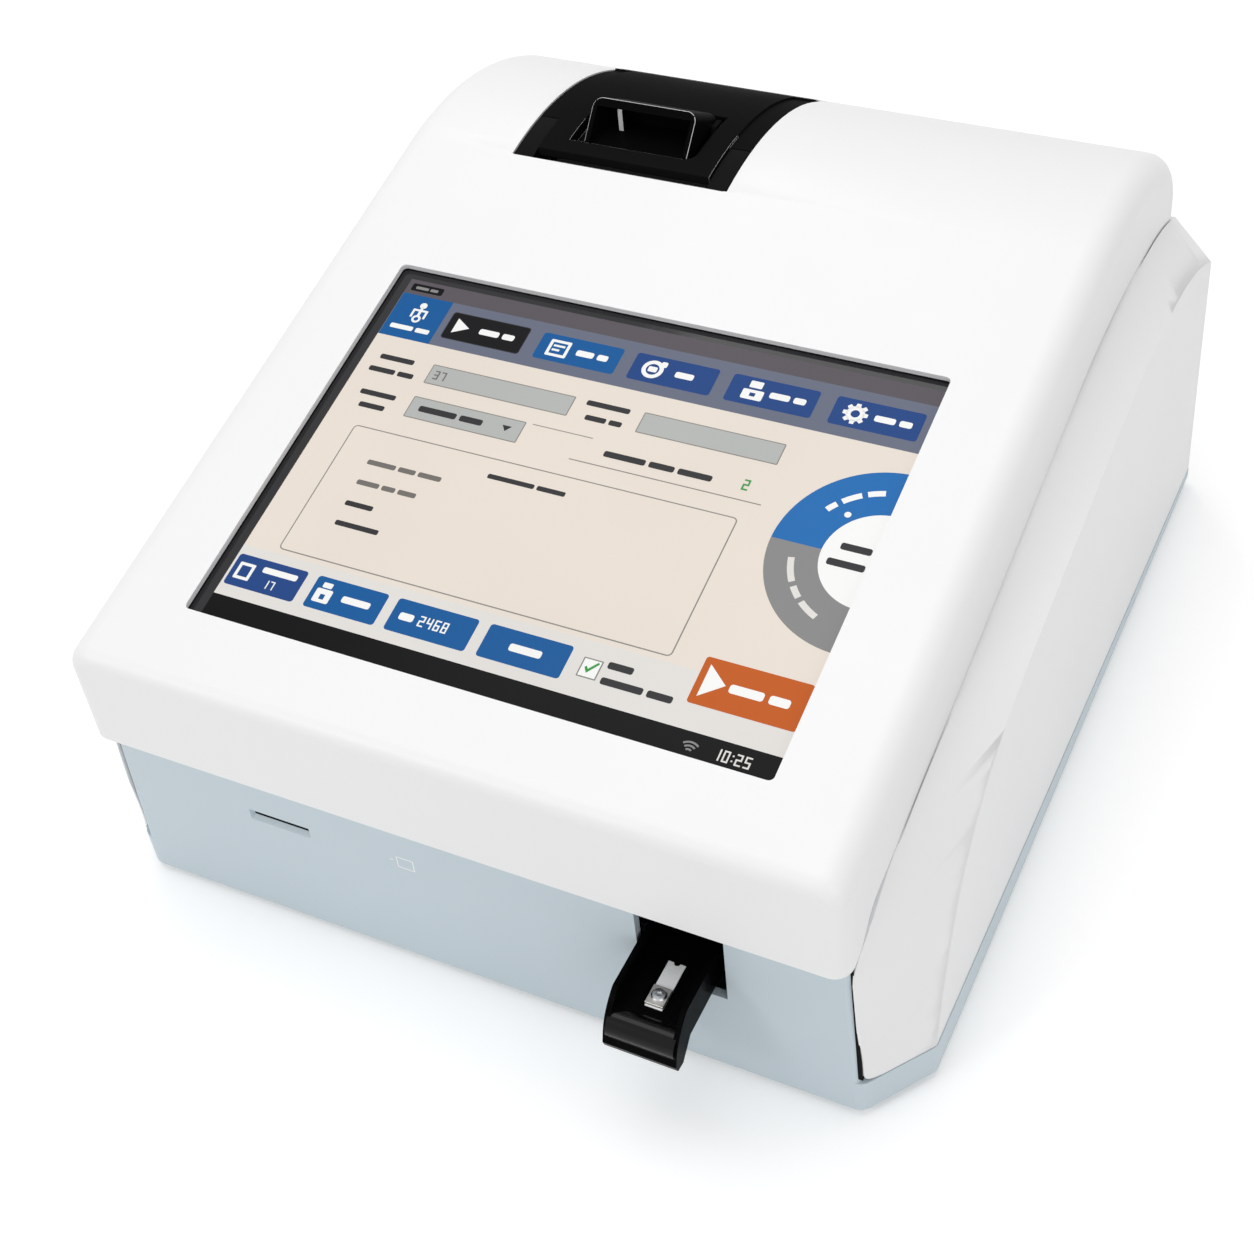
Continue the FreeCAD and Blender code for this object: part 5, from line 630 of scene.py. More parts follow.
# ---- stage -------------------------------------------------------------------------------------------------
def lamp(name, place, aim, power, size):
    """Hangs a square lamp that faces the point it is aimed at."""
    light = bpy.data.lights.new(name, "AREA")
    light.shape = "SQUARE"
    light.size = size
    light.energy = power
    holder = bpy.data.objects.new(name, light)
    bpy.context.scene.collection.objects.link(holder)
    holder.location = place
    holder.rotation_euler = (Vector(aim) - Vector(place)).to_track_quat("-Z", "Y").to_euler()


def seen_rays(tree):
    """One for camera, mirror and glass rays."""
    path = tree.nodes.new("ShaderNodeLightPath")
    seen = maths(tree, "MAXIMUM", path.outputs["Is Camera Ray"], path.outputs["Is Glossy Ray"])
    return maths(tree, "MAXIMUM", seen, path.outputs["Is Transmission Ray"])


def seen_white(tree, strength):
    """White for camera, mirror and glass rays, and the even room light for the rest."""
    seen = seen_rays(tree)
    white = tree.nodes.new("ShaderNodeBackground")
    white.inputs["Color"].default_value = (1.0, 1.0, 1.0, 1.0)
    white.inputs["Strength"].default_value = 1.0
    even = tree.nodes.new("ShaderNodeBackground")
    even.inputs["Color"].default_value = (1.0, 1.0, 1.0, 1.0)
    even.inputs["Strength"].default_value = strength
    mix = tree.nodes.new("ShaderNodeMixShader")
    tree.links.new(seen, mix.inputs["Fac"])
    tree.links.new(even.outputs["Background"], mix.inputs[1])
    tree.links.new(white.outputs["Background"], mix.inputs[2])
    return mix


def lay_floor(settings):
    """A plain floor that adds white where it is seen, and keeps the reader's shadow."""
    work = bmesh.new()
    bmesh.ops.create_grid(work, x_segments=2, y_segments=2, size=4.0)
    bmesh.ops.translate(work, verts=work.verts, vec=(0.0, 0.0, -0.00005))
    mesh = mesh_of(work, "studio_floor")
    floor = bpy.data.objects.new("studio_floor", mesh)
    bpy.context.scene.collection.objects.link(floor)
    shade = tuple(settings.floor_colour)
    finish = moulding("Studio floor", shade, [c * 0.995 for c in shade], 0.8, 0.9, 600.0, 0.02, specular=0.0)
    tree = finish.node_tree
    shader = tree.nodes["Principled BSDF"]
    shader.inputs["Emission Color"].default_value = (1.0, 1.0, 1.0, 1.0)
    seen = maths(tree, "MULTIPLY", seen_rays(tree), settings.floor_white)
    tree.links.new(seen, shader.inputs["Emission Strength"])
    mesh.materials.append(finish)


def light_room(settings):
    """Even light from all round and four lamps."""
    world = bpy.data.worlds.new("Studio")
    world.use_nodes = True
    tree = world.node_tree
    tree.nodes.clear()
    out = tree.nodes.new("ShaderNodeOutputWorld")
    mix = seen_white(tree, settings.room)
    tree.links.new(mix.outputs["Shader"], out.inputs["Surface"])
    bpy.context.scene.world = world
    lamp("Top lamp", (-0.15, 0.05, 1.5), (0.0, 0.0, 0.05), settings.top_lamp, 1.2)
    lamp("Front lamp", (-0.75, -1.25, 0.95), (0.0, 0.0, 0.06), settings.front_lamp, 0.4)
    lamp("Side lamp", (0.95, -0.75, 0.55), (0.0, 0.0, 0.06), settings.side_lamp, 0.8)
    lamp("Gloss lamp", (-0.52, 0.85, 1.15), (0.0, 0.0, 0.06), settings.gloss_lamp, 0.1)


def stand_camera():
    """The camera, from its turn, height and roll about the point that it looks at."""
    back = Vector((math.sin(CAMERA_TURN) * math.cos(CAMERA_HEIGHT),
                   -math.cos(CAMERA_TURN) * math.cos(CAMERA_HEIGHT), math.sin(CAMERA_HEIGHT)))
    across = Vector((0, 0, 1)).cross(back).normalized()
    above = back.cross(across)
    right = across * math.cos(CAMERA_ROLL) + above * math.sin(CAMERA_ROLL)
    up = above * math.cos(CAMERA_ROLL) - across * math.sin(CAMERA_ROLL)
    lens = bpy.data.cameras.new("Camera")
    lens.sensor_width = SENSOR_WIDTH
    lens.lens = CAMERA_LENS / FRAME_WIDTH * SENSOR_WIDTH
    lens.clip_start = 0.01
    lens.clip_end = 20.0
    camera = bpy.data.objects.new("Camera", lens)
    bpy.context.scene.collection.objects.link(camera)
    place = at(*CAMERA_AIM) + back * CAMERA_DISTANCE
    turn = Matrix((right, up, back)).transposed().to_4x4()
    camera.matrix_world = Matrix.Translation(place) @ turn
    bpy.context.scene.camera = camera


class READER_OT_stage(bpy.types.Operator):
    """Lays the floor, hangs the lamps and sets the camera"""
    bl_idname = "reader.stage"
    bl_label = "Stage and camera"

    def execute(self, context):
        settings = context.scene.reader_stage
        lay_floor(settings)
        light_room(settings)
        stand_camera()
        context.scene.view_settings.view_transform = "Standard"
        return {"FINISHED"}


# ---- case --------------------------------------------------------------------------------------------------
class READER_OT_case(bpy.types.Operator):
    """Rounds and paints the cover, the base, the side panels and the rear panel"""
    bl_idname = "reader.case"
    bl_label = "Case"

    def execute(self, context):
        paint = context.scene.reader_paint
        for node in ("top_cover", "base_shell", "rear_panel"):
            dress(node, paint.edge_rounding, paint.edge_segments)
        for node in ("side_panel_left", "side_panel_right"):
            dress(node, paint.edge_rounding, paint.edge_segments, crease=50.0)
        return {"FINISHED"}


def shade_strip_ring(ring, wall, side):
    """One end of a gap's dark strip of painted shade: steps out from the base's wall, each with its y."""
    set_back = SHADE_STRIP_SET_BACK[side]
    points = []
    for out, y in ring:
        reach = wall[0] + (max(out, SHADE_STRIP_CLEAR) if set_back else out)
        points.append(at(side * reach, y + set_back, wall[1]))
    return points


class READER_OT_painted_gap_shade(bpy.types.Operator):
    """Fills the gap in front of each side panel with a dark strip of painted shade"""
    bl_idname = "reader.seals"
    bl_label = "Painted gap shade"

    def execute(self, context):
        work = bmesh.new()
        for side in SHADE_STRIP_SET_BACK:
            foot = shade_strip_ring(SHADE_STRIP_FOOT_RING, SHADE_STRIP_FOOT, side)
            head = shade_strip_ring(SHADE_STRIP_HEAD_RING, SHADE_STRIP_HEAD, side)
            add_slab(work, foot, head)
        new_piece("gap_painted_shade", mesh_of(work, "gap_painted_shade"), "case", "seal", (), [finish_of("printer_black")])
        return {"FINISHED"}


class READER_OT_feet(bpy.types.Operator):
    """Turns the four rubber feet"""
    bl_idname = "reader.feet"
    bl_label = "Feet"

    def execute(self, context):
        low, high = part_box("rubber_feet")
        whole = bmesh.new()
        for x, y in FOOT_PLACES:
            centre = at(x, y, 0.0)
            top = high.z - centre.z
            profile = [(radius, low.z - centre.z + height) for radius, height in FOOT_PROFILE]
            profile = [(0.0, profile[0][1])] + profile + [(FOOT_TOP_RADIUS, top), (0.0, top)]
            part = mesh_of(lathe(profile, centre), "foot")
            whole.from_mesh(part)
            bpy.data.meshes.remove(part)
        mesh = mesh_of(whole, "rubber_feet")
        mesh.shade_smooth()
        mesh.set_sharp_from_angle(angle=math.radians(30))
        new_piece("rubber_feet_skin", mesh, "case", "rubber", ("rubber_feet",))
        return {"FINISHED"}


# ---- screws, made with geometry nodes ----------------------------------------------------------------------
def group_input(tree, label, kind, value):
    """Adds a named input and gives the identifier that a modifier sets it by."""
    socket = tree.interface.new_socket(name=label, in_out="INPUT", socket_type=kind)
    socket.default_value = value
    return socket.identifier


def screw_nodes():
    """Geometry tree: a round head with a cross recess and a shank at each point of the mesh."""
    tree = bpy.data.node_groups.new("Cross screws", "GeometryNodeTree")
    tree.interface.new_socket(name="Places", in_out="INPUT", socket_type="NodeSocketGeometry")
    names = {}
    for label, value in CASE_SCREW.items():
        names[label] = group_input(tree, label, "NodeSocketFloat", value)
    tree.interface.new_socket(name="Finish", in_out="INPUT", socket_type="NodeSocketMaterial")
    names["Finish"] = tree.interface.items_tree[-1].identifier
    tree.interface.new_socket(name="Screws", in_out="OUTPUT", socket_type="NodeSocketGeometry")
    start = tree.nodes.new("NodeGroupInput")
    end = tree.nodes.new("NodeGroupOutput")
    link = tree.links.new

    def sized(label, factor):
        return maths(tree, "MULTIPLY", start.outputs[label], factor)

    def rod(radius, length, sides, top=None):
        node = tree.nodes.new("GeometryNodeMeshCone")
        node.inputs["Vertices"].default_value = sides
        node.inputs["Side Segments"].default_value = 1
        link(radius, node.inputs["Radius Bottom"])
        link(top or radius, node.inputs["Radius Top"])
        link(length, node.inputs["Depth"])
        return node.outputs["Mesh"]

    def moved(mesh, height):
        shift = tree.nodes.new("ShaderNodeCombineXYZ")
        link(height, shift.inputs["Z"])
        node = tree.nodes.new("GeometryNodeTransform")
        link(mesh, node.inputs["Geometry"])
        link(shift.outputs["Vector"], node.inputs["Translation"])
        return node.outputs["Geometry"]

    crown = rod(sized("Head radius", 0.72), sized("Head height", 0.3), 32, start.outputs["Head radius"])
    drum = rod(start.outputs["Head radius"], sized("Head height", 0.7), 32)
    drum = moved(drum, sized("Head height", 0.3))
    shank = rod(start.outputs["Shank radius"], start.outputs["Shank length"], 16)
    shank = moved(shank, start.outputs["Head height"])
    cutters = []
    for wide in (True, False):
        size = tree.nodes.new("ShaderNodeCombineXYZ")
        link(sized("Head radius", 1.1), size.inputs["X" if wide else "Y"])
        link(sized("Head radius", 0.26), size.inputs["Y" if wide else "X"])
        link(sized("Head height", 1.1), size.inputs["Z"])
        cube = tree.nodes.new("GeometryNodeMeshCube")
        link(size.outputs["Vector"], cube.inputs["Size"])
        cutters.append(cube.outputs["Mesh"])
    body = tree.nodes.new("GeometryNodeMeshBoolean")
    body.operation = "UNION"
    for mesh in (crown, drum):
        link(mesh, body.inputs["Mesh 2"])
    head = tree.nodes.new("GeometryNodeMeshBoolean")
    head.operation = "DIFFERENCE"
    link(body.outputs["Mesh"], head.inputs["Mesh 1"])
    for cutter in cutters:
        link(cutter, head.inputs["Mesh 2"])
    joined = tree.nodes.new("GeometryNodeJoinGeometry")
    link(head.outputs["Mesh"], joined.inputs["Geometry"])
    link(shank, joined.inputs["Geometry"])
    scatter = tree.nodes.new("GeometryNodeInstanceOnPoints")
    link(start.outputs["Places"], scatter.inputs["Points"])
    link(joined.outputs["Geometry"], scatter.inputs["Instance"])
    real = tree.nodes.new("GeometryNodeRealizeInstances")
    link(scatter.outputs["Instances"], real.inputs["Geometry"])
    paint = tree.nodes.new("GeometryNodeSetMaterial")
    link(real.outputs["Geometry"], paint.inputs["Geometry"])
    link(start.outputs["Finish"], paint.inputs["Material"])
    link(paint.outputs["Geometry"], end.inputs[0])
    return tree, names


def screws_at(name, points, sizes, finish):
    """A plain mesh of cross-head screws standing on their heads at the points."""
    tree, names = screw_nodes()
    mesh = bpy.data.meshes.new(name + "_places")
    mesh.from_pydata([tuple(point) for point in points], [], [])
    scratch = bpy.data.objects.new(name + "_work", mesh)
    bpy.context.scene.collection.objects.link(scratch)
    modifier = scratch.modifiers.new("Cross screws", "NODES")
    modifier.node_group = tree
    for label, value in sizes.items():
        modifier[names[label]] = value
    modifier[names["Finish"]] = finish
    result = plain_mesh(scratch, name)
    result.shade_smooth()
    result.set_sharp_from_angle(angle=math.radians(30))
    return result


class READER_OT_screws(bpy.types.Operator):
    """Drives the four case screws in from underneath"""
    bl_idname = "reader.screws"
    bl_label = "Case screws"

    def execute(self, context):
        low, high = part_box("case_screws")
        points = [Vector((*at(x, y, 0).xy, low.z)) for x, y in SCREW_PLACES]
        sizes = dict(CASE_SCREW)
        sizes["Shank length"] = high.z - low.z - sizes["Head height"]
        mesh = screws_at("case_screws", points, sizes, finish_of("steel"))
        new_piece("case_screws_skin", mesh, "case", "steel", ("case_screws",))
        return {"FINISHED"}


# ---- screen picture ----------------------------------------------------------------------------------------
INKS = {
    "ground": "e8ded3", "black": "161618", "strip": "5f5a60", "toolbar": "6c7283", "blue": "1f5d9b",
    "deep_blue": "2a4a86", "charcoal": "1c1c1e", "field": "b6b8b6", "line": "8d8a86", "bar": "161617",
    "grey": "8b8b8b", "ring_blue": "2a6fb3", "white": "f6f6f4", "orange": "c36029", "ink": "3b3b3d",
    "soft_ink": "77736f", "green": "3d9a4c", "pale": "e2dfdb",
}
INK_ORDER = list(INKS)
INK_FOOT, INK_TOP, INK_STEP = 0.005, 0.03, 0.012    # mm over the glass: a slab's foot, its top, and each layer
CORNER_STEPS = 4
SAME_POINT = 1e-6
BUTTON_EDGE = 0.25
WORD_SPANS = [5, 3, 4, 6, 2]                        # lengths of the bars of a line, against each other


class Picture:
    """Collects the flat pieces of the screen picture, each a closed slab on the glass."""

    def __init__(self, corner):
        self.work = bmesh.new()
        self.corner = corner

    def slab(self, outline, ink, raised):
        """A slab of one ink: its outline in (x, along the slope), counter-clockwise, and its layer."""
        low = [on_slope(x, s, GLASS_LEVEL + INK_FOOT) for x, s in outline]
        high = [on_slope(x, s, GLASS_LEVEL + INK_TOP + INK_STEP * raised) for x, s in outline]
        add_slab(self.work, low, high, INK_ORDER.index(ink))

    def box(self, x0, x1, s0, s1, ink, raised, corner=0.0):
        """An upright box, its corners rounded where a radius is given."""
        if corner <= 0:
            self.slab([(x0, s0), (x1, s0), (x1, s1), (x0, s1)], ink, raised)
            return
        outline = []
        for cx, cs, start in ((x1 - corner, s1 - corner, 0), (x0 + corner, s1 - corner, 90),
                              (x0 + corner, s0 + corner, 180), (x1 - corner, s0 + corner, 270)):
            for step in range(CORNER_STEPS + 1):
                turn = math.radians(start + 90 * step / CORNER_STEPS)
                outline.append((cx + corner * math.cos(turn), cs + corner * math.sin(turn)))
        self.slab(outline, ink, raised)

    def button(self, x0, x1, s0, s1, ink, edge):
        """A button with a fine edge."""
        self.box(x0, x1, s0, s1, edge, 3, self.corner)
        self.box(x0 + BUTTON_EDGE, x1 - BUTTON_EDGE, s0 + BUTTON_EDGE, s1 - BUTTON_EDGE, ink, 4, self.corner)

    def frame(self, x0, x1, s0, s1, width, ink, raised, corner, fill="ground"):
        """A filled box with a line round it."""
        self.box(x0, x1, s0, s1, ink, raised, corner)
        self.box(x0 + width, x1 - width, s0 + width, s1 - width, fill, raised + 1, max(corner - width, 0))

    def words(self, x0, x1, s, height, ink, count, raised=6):
        """Bars that stand for a line of words."""
        spans = WORD_SPANS[:count]
        gap = height * 0.55
        room = (x1 - x0) - gap * (count - 1)
        x = x0
        for span in spans:
            width = room * span / sum(spans)
            self.box(x, x + width, s - height / 2, s + height / 2, ink, raised, min(height * 0.3, width * 0.4))
            x += width + gap

    def disc(self, x, s, radius, ink, raised, sides, start=0.0, end=360.0, inner=0.0, limit=None):
        """A disc, sector or ring sector of thin wedges, cut off at x = limit."""
        steps = max(int(sides * (end - start) / 360), 3)
        for step in range(steps):
            a = math.radians(start + (end - start) * step / steps)
            b = math.radians(start + (end - start) * (step + 1) / steps)
            outline = [(x + radius * math.cos(a), s + radius * math.sin(a)),
                       (x + radius * math.cos(b), s + radius * math.sin(b))]
            if inner > 0:
                outline += [(x + inner * math.cos(b), s + inner * math.sin(b)),
                            (x + inner * math.cos(a), s + inner * math.sin(a))]
            else:
                outline += [(x, s)]
            if limit is not None:
                outline = clipped(outline, limit)
            if len(outline) > 2:
                self.slab(outline, ink, raised)


def clipped(outline, limit):
    """The part of an outline with x below the limit."""
    kept = []
    for number, (x, s) in enumerate(outline):
        px, ps = outline[number - 1]
        if (px <= limit) != (x <= limit):
            share = (limit - px) / (x - px)
            kept.append((limit, ps + (s - ps) * share))
        if x <= limit:
            kept.append((x, s))
    apart = []
    for point in kept:
        if not apart or math.dist(point, apart[-1]) > SAME_POINT:
            apart.append(point)
    if len(apart) > 1 and math.dist(apart[0], apart[-1]) < SAME_POINT:
        apart.pop()
    return apart


SEGMENTS = {"0": "abcdef", "1": "bc", "2": "abged", "3": "abgcd", "4": "fgbc", "5": "afgcd", "6": "afgedc",
            "7": "abc", "8": "abcdefg", "9": "gfabcd"}


def draw_number(picture, text, x, s, height, ink, raised=7):
    """Plain seven-bar numbers, with a colon where the text has one."""
    width = height * 0.5
    bar = height * 0.13
    half = height / 2
    for letter in text:
        if letter == ":":
            for rise in (-0.22, 0.22):
                middle = s + rise * height
                picture.box(x, x + bar, middle - bar / 2, middle + bar / 2, ink, raised)
            x += bar * 2.4
            continue
        places = {"a": (x, x + width, s + half - bar, s + half), "d": (x, x + width, s - half, s - half + bar),
                  "g": (x, x + width, s - bar / 2, s + bar / 2), "f": (x, x + bar, s, s + half),
                  "e": (x, x + bar, s - half, s), "b": (x + width - bar, x + width, s, s + half),
                  "c": (x + width - bar, x + width, s - half, s)}
        for number, segment in enumerate(SEGMENTS[letter]):
            picture.box(*places[segment], ink, raised + number * 0.2)
        x += width + height * 0.2


def draw_gear(picture, x, s, radius, ink):
    """The settings button's gear: eight teeth round a ring."""
    centre = Vector((x, s))
    for tooth in range(8):
        turn = math.radians(tooth * 45)
        across = Vector((-math.sin(turn), math.cos(turn)))
        out = Vector((math.cos(turn), math.sin(turn)))
        corners = [centre + out * radius * reach + across * radius * half
                   for reach, half in ((0.6, -0.22), (1.0, -0.17), (1.0, 0.17), (0.6, 0.22))]
        picture.slab([tuple(corner) for corner in corners], ink, 6)
    picture.disc(x, s, radius * 0.74, ink, 6, 24, inner=radius * 0.36)


def draw_toolbar(p):
    """Top strip, tab and the five buttons."""
    p.box(*PICTURE[:2], 139.0, PICTURE[3], "strip", 2)
    p.box(-77.0, -66.8, 140.3, 143.0, "black", 3, 0.6)
    p.words(-75.6, -68.4, 141.6, 1.0, "grey", 2, 4)
    p.box(*PICTURE[:2], 123.0, 139.0, "toolbar", 2)
    p.box(-78.3, -62.0, 123.0, 139.0, "blue", 3)
    p.disc(-70.0, 135.6, 1.1, "white", 6, 16)
    p.box(-70.4, -69.6, 131.4, 135.0, "white", 6)
    p.box(-72.4, -67.6, 133.4, 134.1, "white", 6.3, 0.2)
    p.box(-72.4, -71.7, 131.0, 133.6, "white", 6.6)
    p.box(-68.3, -67.6, 131.0, 133.6, "white", 6.9)
    p.disc(-70.0, 130.6, 1.4, "white", 7.2, 16, inner=0.7)
    p.words(-76.4, -63.8, 126.8, 1.6, "white", 2)
    p.button(-60.0, -35.2, 126.2, 136.0, "charcoal", "ink")
    p.slab([(-57.6, 128.6), (-53.0, 131.2), (-57.6, 134.0)], "white", 6)
    p.words(-49.6, -38.6, 131.1, 2.0, "white", 2)
    for x0, x1, ink in ((-31.2, -6.0, "blue"), (-2.5, 22.4, "deep_blue"), (26.0, 51.2, "deep_blue"),
                        (55.4, 80.2, "deep_blue")):
        p.button(x0, x1, 126.2, 136.0, ink, "toolbar")
    p.frame(-27.9, -21.6, 128.2, 134.0, 0.9, "white", 6, 0.4, "blue")
    p.box(-26.5, -23.0, 131.6, 132.3, "white", 8)
    p.box(-26.5, -24.2, 130.1, 130.8, "white", 8.3)
    p.words(-19.2, -9.6, 131.1, 2.0, "white", 2)
    p.disc(3.9, 131.1, 3.1, "white", 6, 32, inner=1.9)
    p.box(2.6, 5.2, 130.2, 132.0, "white", 7, 0.4)
    p.box(5.6, 7.4, 132.4, 134.3, "white", 7.4, 0.5)
    p.words(10.6, 16.0, 131.1, 2.0, "white", 1)
    p.box(30.4, 36.4, 128.3, 131.6, "white", 6, 0.5)
    p.box(31.6, 35.2, 132.3, 134.6, "white", 6.4, 0.3)
    p.box(32.6, 34.2, 129.4, 130.6, "deep_blue", 7)
    p.words(38.0, 48.2, 131.1, 2.0, "white", 2)
    draw_gear(p, 61.9, 131.1, 3.4, "white")
    p.words(67.2, 77.4, 131.1, 2.0, "white", 2)


def draw_fields(p):
    """Sample fields, the information box and its labels."""
    for x0, x1, s, count in ((-73.5, -62.7, 115.5, 1), (-74.7, -60.6, 110.8, 2), (-73.0, -61.8, 102.5, 1),
                             (-71.2, -63.2, 98.2, 1), (-8.8, 4.0, 115.7, 1), (-7.2, 3.6, 110.9, 2)):
        p.words(x0, x1, s, 1.7, "ink", count)
    p.frame(-56.8, -12.4, 109.8, 116.7, 0.3, "line", 3, 0.4, "field")
    draw_number(p, "37", -55.0, 113.2, 3.0, "soft_ink")
    p.frame(-56.8, -21.9, 97.5, 104.9, 0.3, "line", 3, 0.4, "field")
    p.words(-53.6, -33.8, 101.2, 2.0, "ink", 2)
    p.slab([(-28.0, 102.3), (-26.6, 100.4), (-25.2, 102.3)], "ink", 6)
    p.frame(8.0, 48.5, 109.8, 116.8, 0.3, "line", 3, 0.4, "field")
    p.words(3.0, 34.0, 100.9, 1.9, "ink", 3)
    p.box(-5.4, 49.3, 96.55, 96.85, "line", 4)
    p.box(-20.0, -2.0, 104.6, 104.85, "line", 4)
    draw_number(p, "2", 42.4, 101.6, 3.4, "green")
    p.frame(-68.6, 45.5, 47.5, 91.2, 0.35, "line", 3, 1.4)
    for x0, x1, s, count in ((-58.8, -36.0, 80.5, 3), (-58.4, -40.2, 73.6, 3), (-58.1, -49.6, 66.4, 1),
                             (-57.6, -44.4, 59.8, 1)):
        p.words(x0, x1, s, 1.6, "soft_ink" if count > 1 else "ink", count)
    p.words(-24.2, -1.2, 85.4, 1.5, "ink", 2)


def draw_ring(p):
    """Round mode switch at the right-hand edge."""
    x, s, edge = 83.5, 88.2, PICTURE[1]
    p.disc(x, s, 28.0, "ring_blue", 4, 96, 0.0, 180.0, 14.5, edge)
    p.disc(x, s, 28.0, "grey", 4, 96, 180.0, 360.0, 14.5, edge)
    p.disc(x, s, 14.5, "white", 4, 64, limit=edge)
    p.disc(71.5, 100.0, 0.9, "white", 6, 20)
    for start, end, ink in ((104, 116, "white"), (120, 134, "white"), (138, 146, "white"), (192, 212, "pale"),
                            (216, 226, "pale"), (230, 246, "pale")):
        p.disc(x, s, 22.1, ink, 6, 96, start, end, 20.4, edge)
    p.words(73.2, 81.4, 90.6, 2.1, "ink", 1)
    p.words(71.4, 81.4, 85.4, 2.1, "ink", 1)


def draw_lower(p):
    """Lower buttons, tick box, start button and the bottom bar."""
    p.box(*PICTURE[:2], 29.8, 46.0, "pale", 2)
    for x0, x1, ink in ((-78.0, -56.0, "deep_blue"), (-53.3, -31.5, "blue"), (-29.0, -5.0, "blue"),
                        (-2.2, 21.6, "blue")):
        p.button(x0, x1, 33.0, 43.4, ink, "pale")
    p.frame(-76.2, -71.4, 35.6, 40.8, 0.9, "white", 6, 0.3, "deep_blue")
    p.words(-69.0, -58.4, 40.2, 1.8, "white", 1)
    draw_number(p, "17", -66.6, 36.2, 2.6, "white")
    p.box(-51.6, -46.8, 35.4, 39.6, "white", 6, 0.5)
    p.box(-50.6, -47.8, 40.0, 41.6, "white", 6.4, 0.3)
    p.box(-49.9, -48.5, 36.4, 38.0, "blue", 7)
    p.words(-43.6, -35.2, 38.2, 2.0, "white", 1)
    p.words(-26.4, -22.2, 38.2, 2.2, "white", 1)
    draw_number(p, "2468", -20.6, 38.2, 3.2, "white")
    p.words(5.4, 14.4, 38.2, 2.2, "white", 1)
    p.frame(25.0, 30.3, 35.6, 41.3, 0.35, "line", 4, 0.2, "white")
    p.slab([(26.2, 38.5), (27.2, 37.0), (29.6, 40.2), (29.2, 40.7), (27.2, 38.2), (26.6, 39.0)], "green", 7)
    p.words(31.6, 38.4, 40.8, 2.0, "ink", 1)
    p.words(31.6, 50.8, 36.2, 2.0, "ink", 2)
    p.box(54.0, PICTURE[1], 37.0, 50.5, "orange", 5, 0.8)
    p.slab([(55.8, 39.2), (61.5, 43.9), (55.8, 48.6)], "white", 7)
    p.words(62.6, 78.2, 43.6, 2.5, "white", 2, 7)
    p.box(*PICTURE[:3], 29.8, "bar", 2)
    for radius in (1.3, 2.3, 3.3):
        p.disc(59.8, 24.0, radius, "grey", 5, 64, 50.0, 130.0, radius - 0.5)
    draw_number(p, "10:25", 66.0, 25.9, 3.2, "pale", 5)


class READER_OT_screen(bpy.types.Operator):
    """Draws the lit picture on the display and polishes the glass"""
    bl_idname = "reader.screen"
    bl_label = "Screen"

    def execute(self, context):
        settings = context.scene.reader_screen
        repaint("touch_panel", "window_gasket")
        picture = Picture(settings.corner)
        picture.box(*PICTURE, "ground", 1)
        draw_toolbar(picture)
        draw_fields(picture)
        draw_ring(picture)
        draw_lower(picture)
        inks = [lit_ink("Picture " + name.replace("_", " "), srgb(code), settings.glow)
                for name, code in INKS.items()]
        mesh = mesh_of(picture.work, "screen_picture")
        new_piece("screen_picture", mesh, "case", "screen", (), inks)
        return {"FINISHED"}


# ---- tray and printer --------------------------------------------------------------------------------------
class READER_OT_tray(bpy.types.Operator):
    """Rounds the cassette tray, its leaf strip and clamp, and adds the clamp's screw"""
    bl_idname = "reader.tray"
    bl_label = "Cassette tray"

    def execute(self, context):
        polish = moulding("Thumb polish", (0.0022, 0.0022, 0.0024), (0.003, 0.003, 0.0032), 0.1, 0.13, 900.0, 0.03,
                          specular=0.2)
        dress("cassette_tray", 0.0004, 3, lit_face=thumb_roll, materials=[finish_of("tray_black"), polish])
        dress("leaf_strip", 0.00008, 1)
        dress("clamp_plate", 0.00015, 2)
        repaint("tray_rack", "tray_carriage", "guide_rods", "rod_brackets", "tray_motor_bracket")
        dress("tray_pinion", 0.0)
        dress("tray_motor", 0.0004)
        low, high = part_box("clamp_plate")
        centre = Vector(((low.x + high.x) / 2 + 0.0002, (low.y + high.y) / 2, high.z - 0.0001))
        mesh = mesh_of(lathe(CLAMP_SCREW_PROFILE, centre, 32), "clamp_screw")
        mesh.shade_smooth()
        mesh.set_sharp_from_angle(angle=math.radians(35))
        new_piece("clamp_screw", mesh, "tray", "steel")
        return {"FINISHED"}


def place_of(point):
    """A point's mm from the cover's lip, from its metres in the frame."""
    return point * 1000 - ORIGIN


def lever_rim(point):
    """True on the outer edges of the lever's mouth and on the rib inside it, which get a painted highlight."""
    place = place_of(point)
    rise = min(max((place.z - LEVER_SILL[1]) / (LEVER_BROW[1] - LEVER_SILL[1]), 0.0), 1.0)
    front = LEVER_SILL[0] + (LEVER_BROW[0] - LEVER_SILL[0]) * rise
    on_rib = abs(place.x - LEVER_RIB) < 1.0 and place.y < front + RIB_DEPTH
    outer = abs(place.x - LEVER_MIDDLE) > LEVER_OUTER or rise > 0.93
    return (place.y < front + 1.0 and outer) or on_rib


def rib_front(point):
    """True on the front of the rib inside the lever, which gets a painted highlight."""
    place = place_of(point)
    between = LEVER_SILL[0] < place.y < LEVER_BROW[0] + RIB_DEPTH
    return abs(place.x - LEVER_RIB) < 0.3 and between and place.z > LEVER_SILL[1]


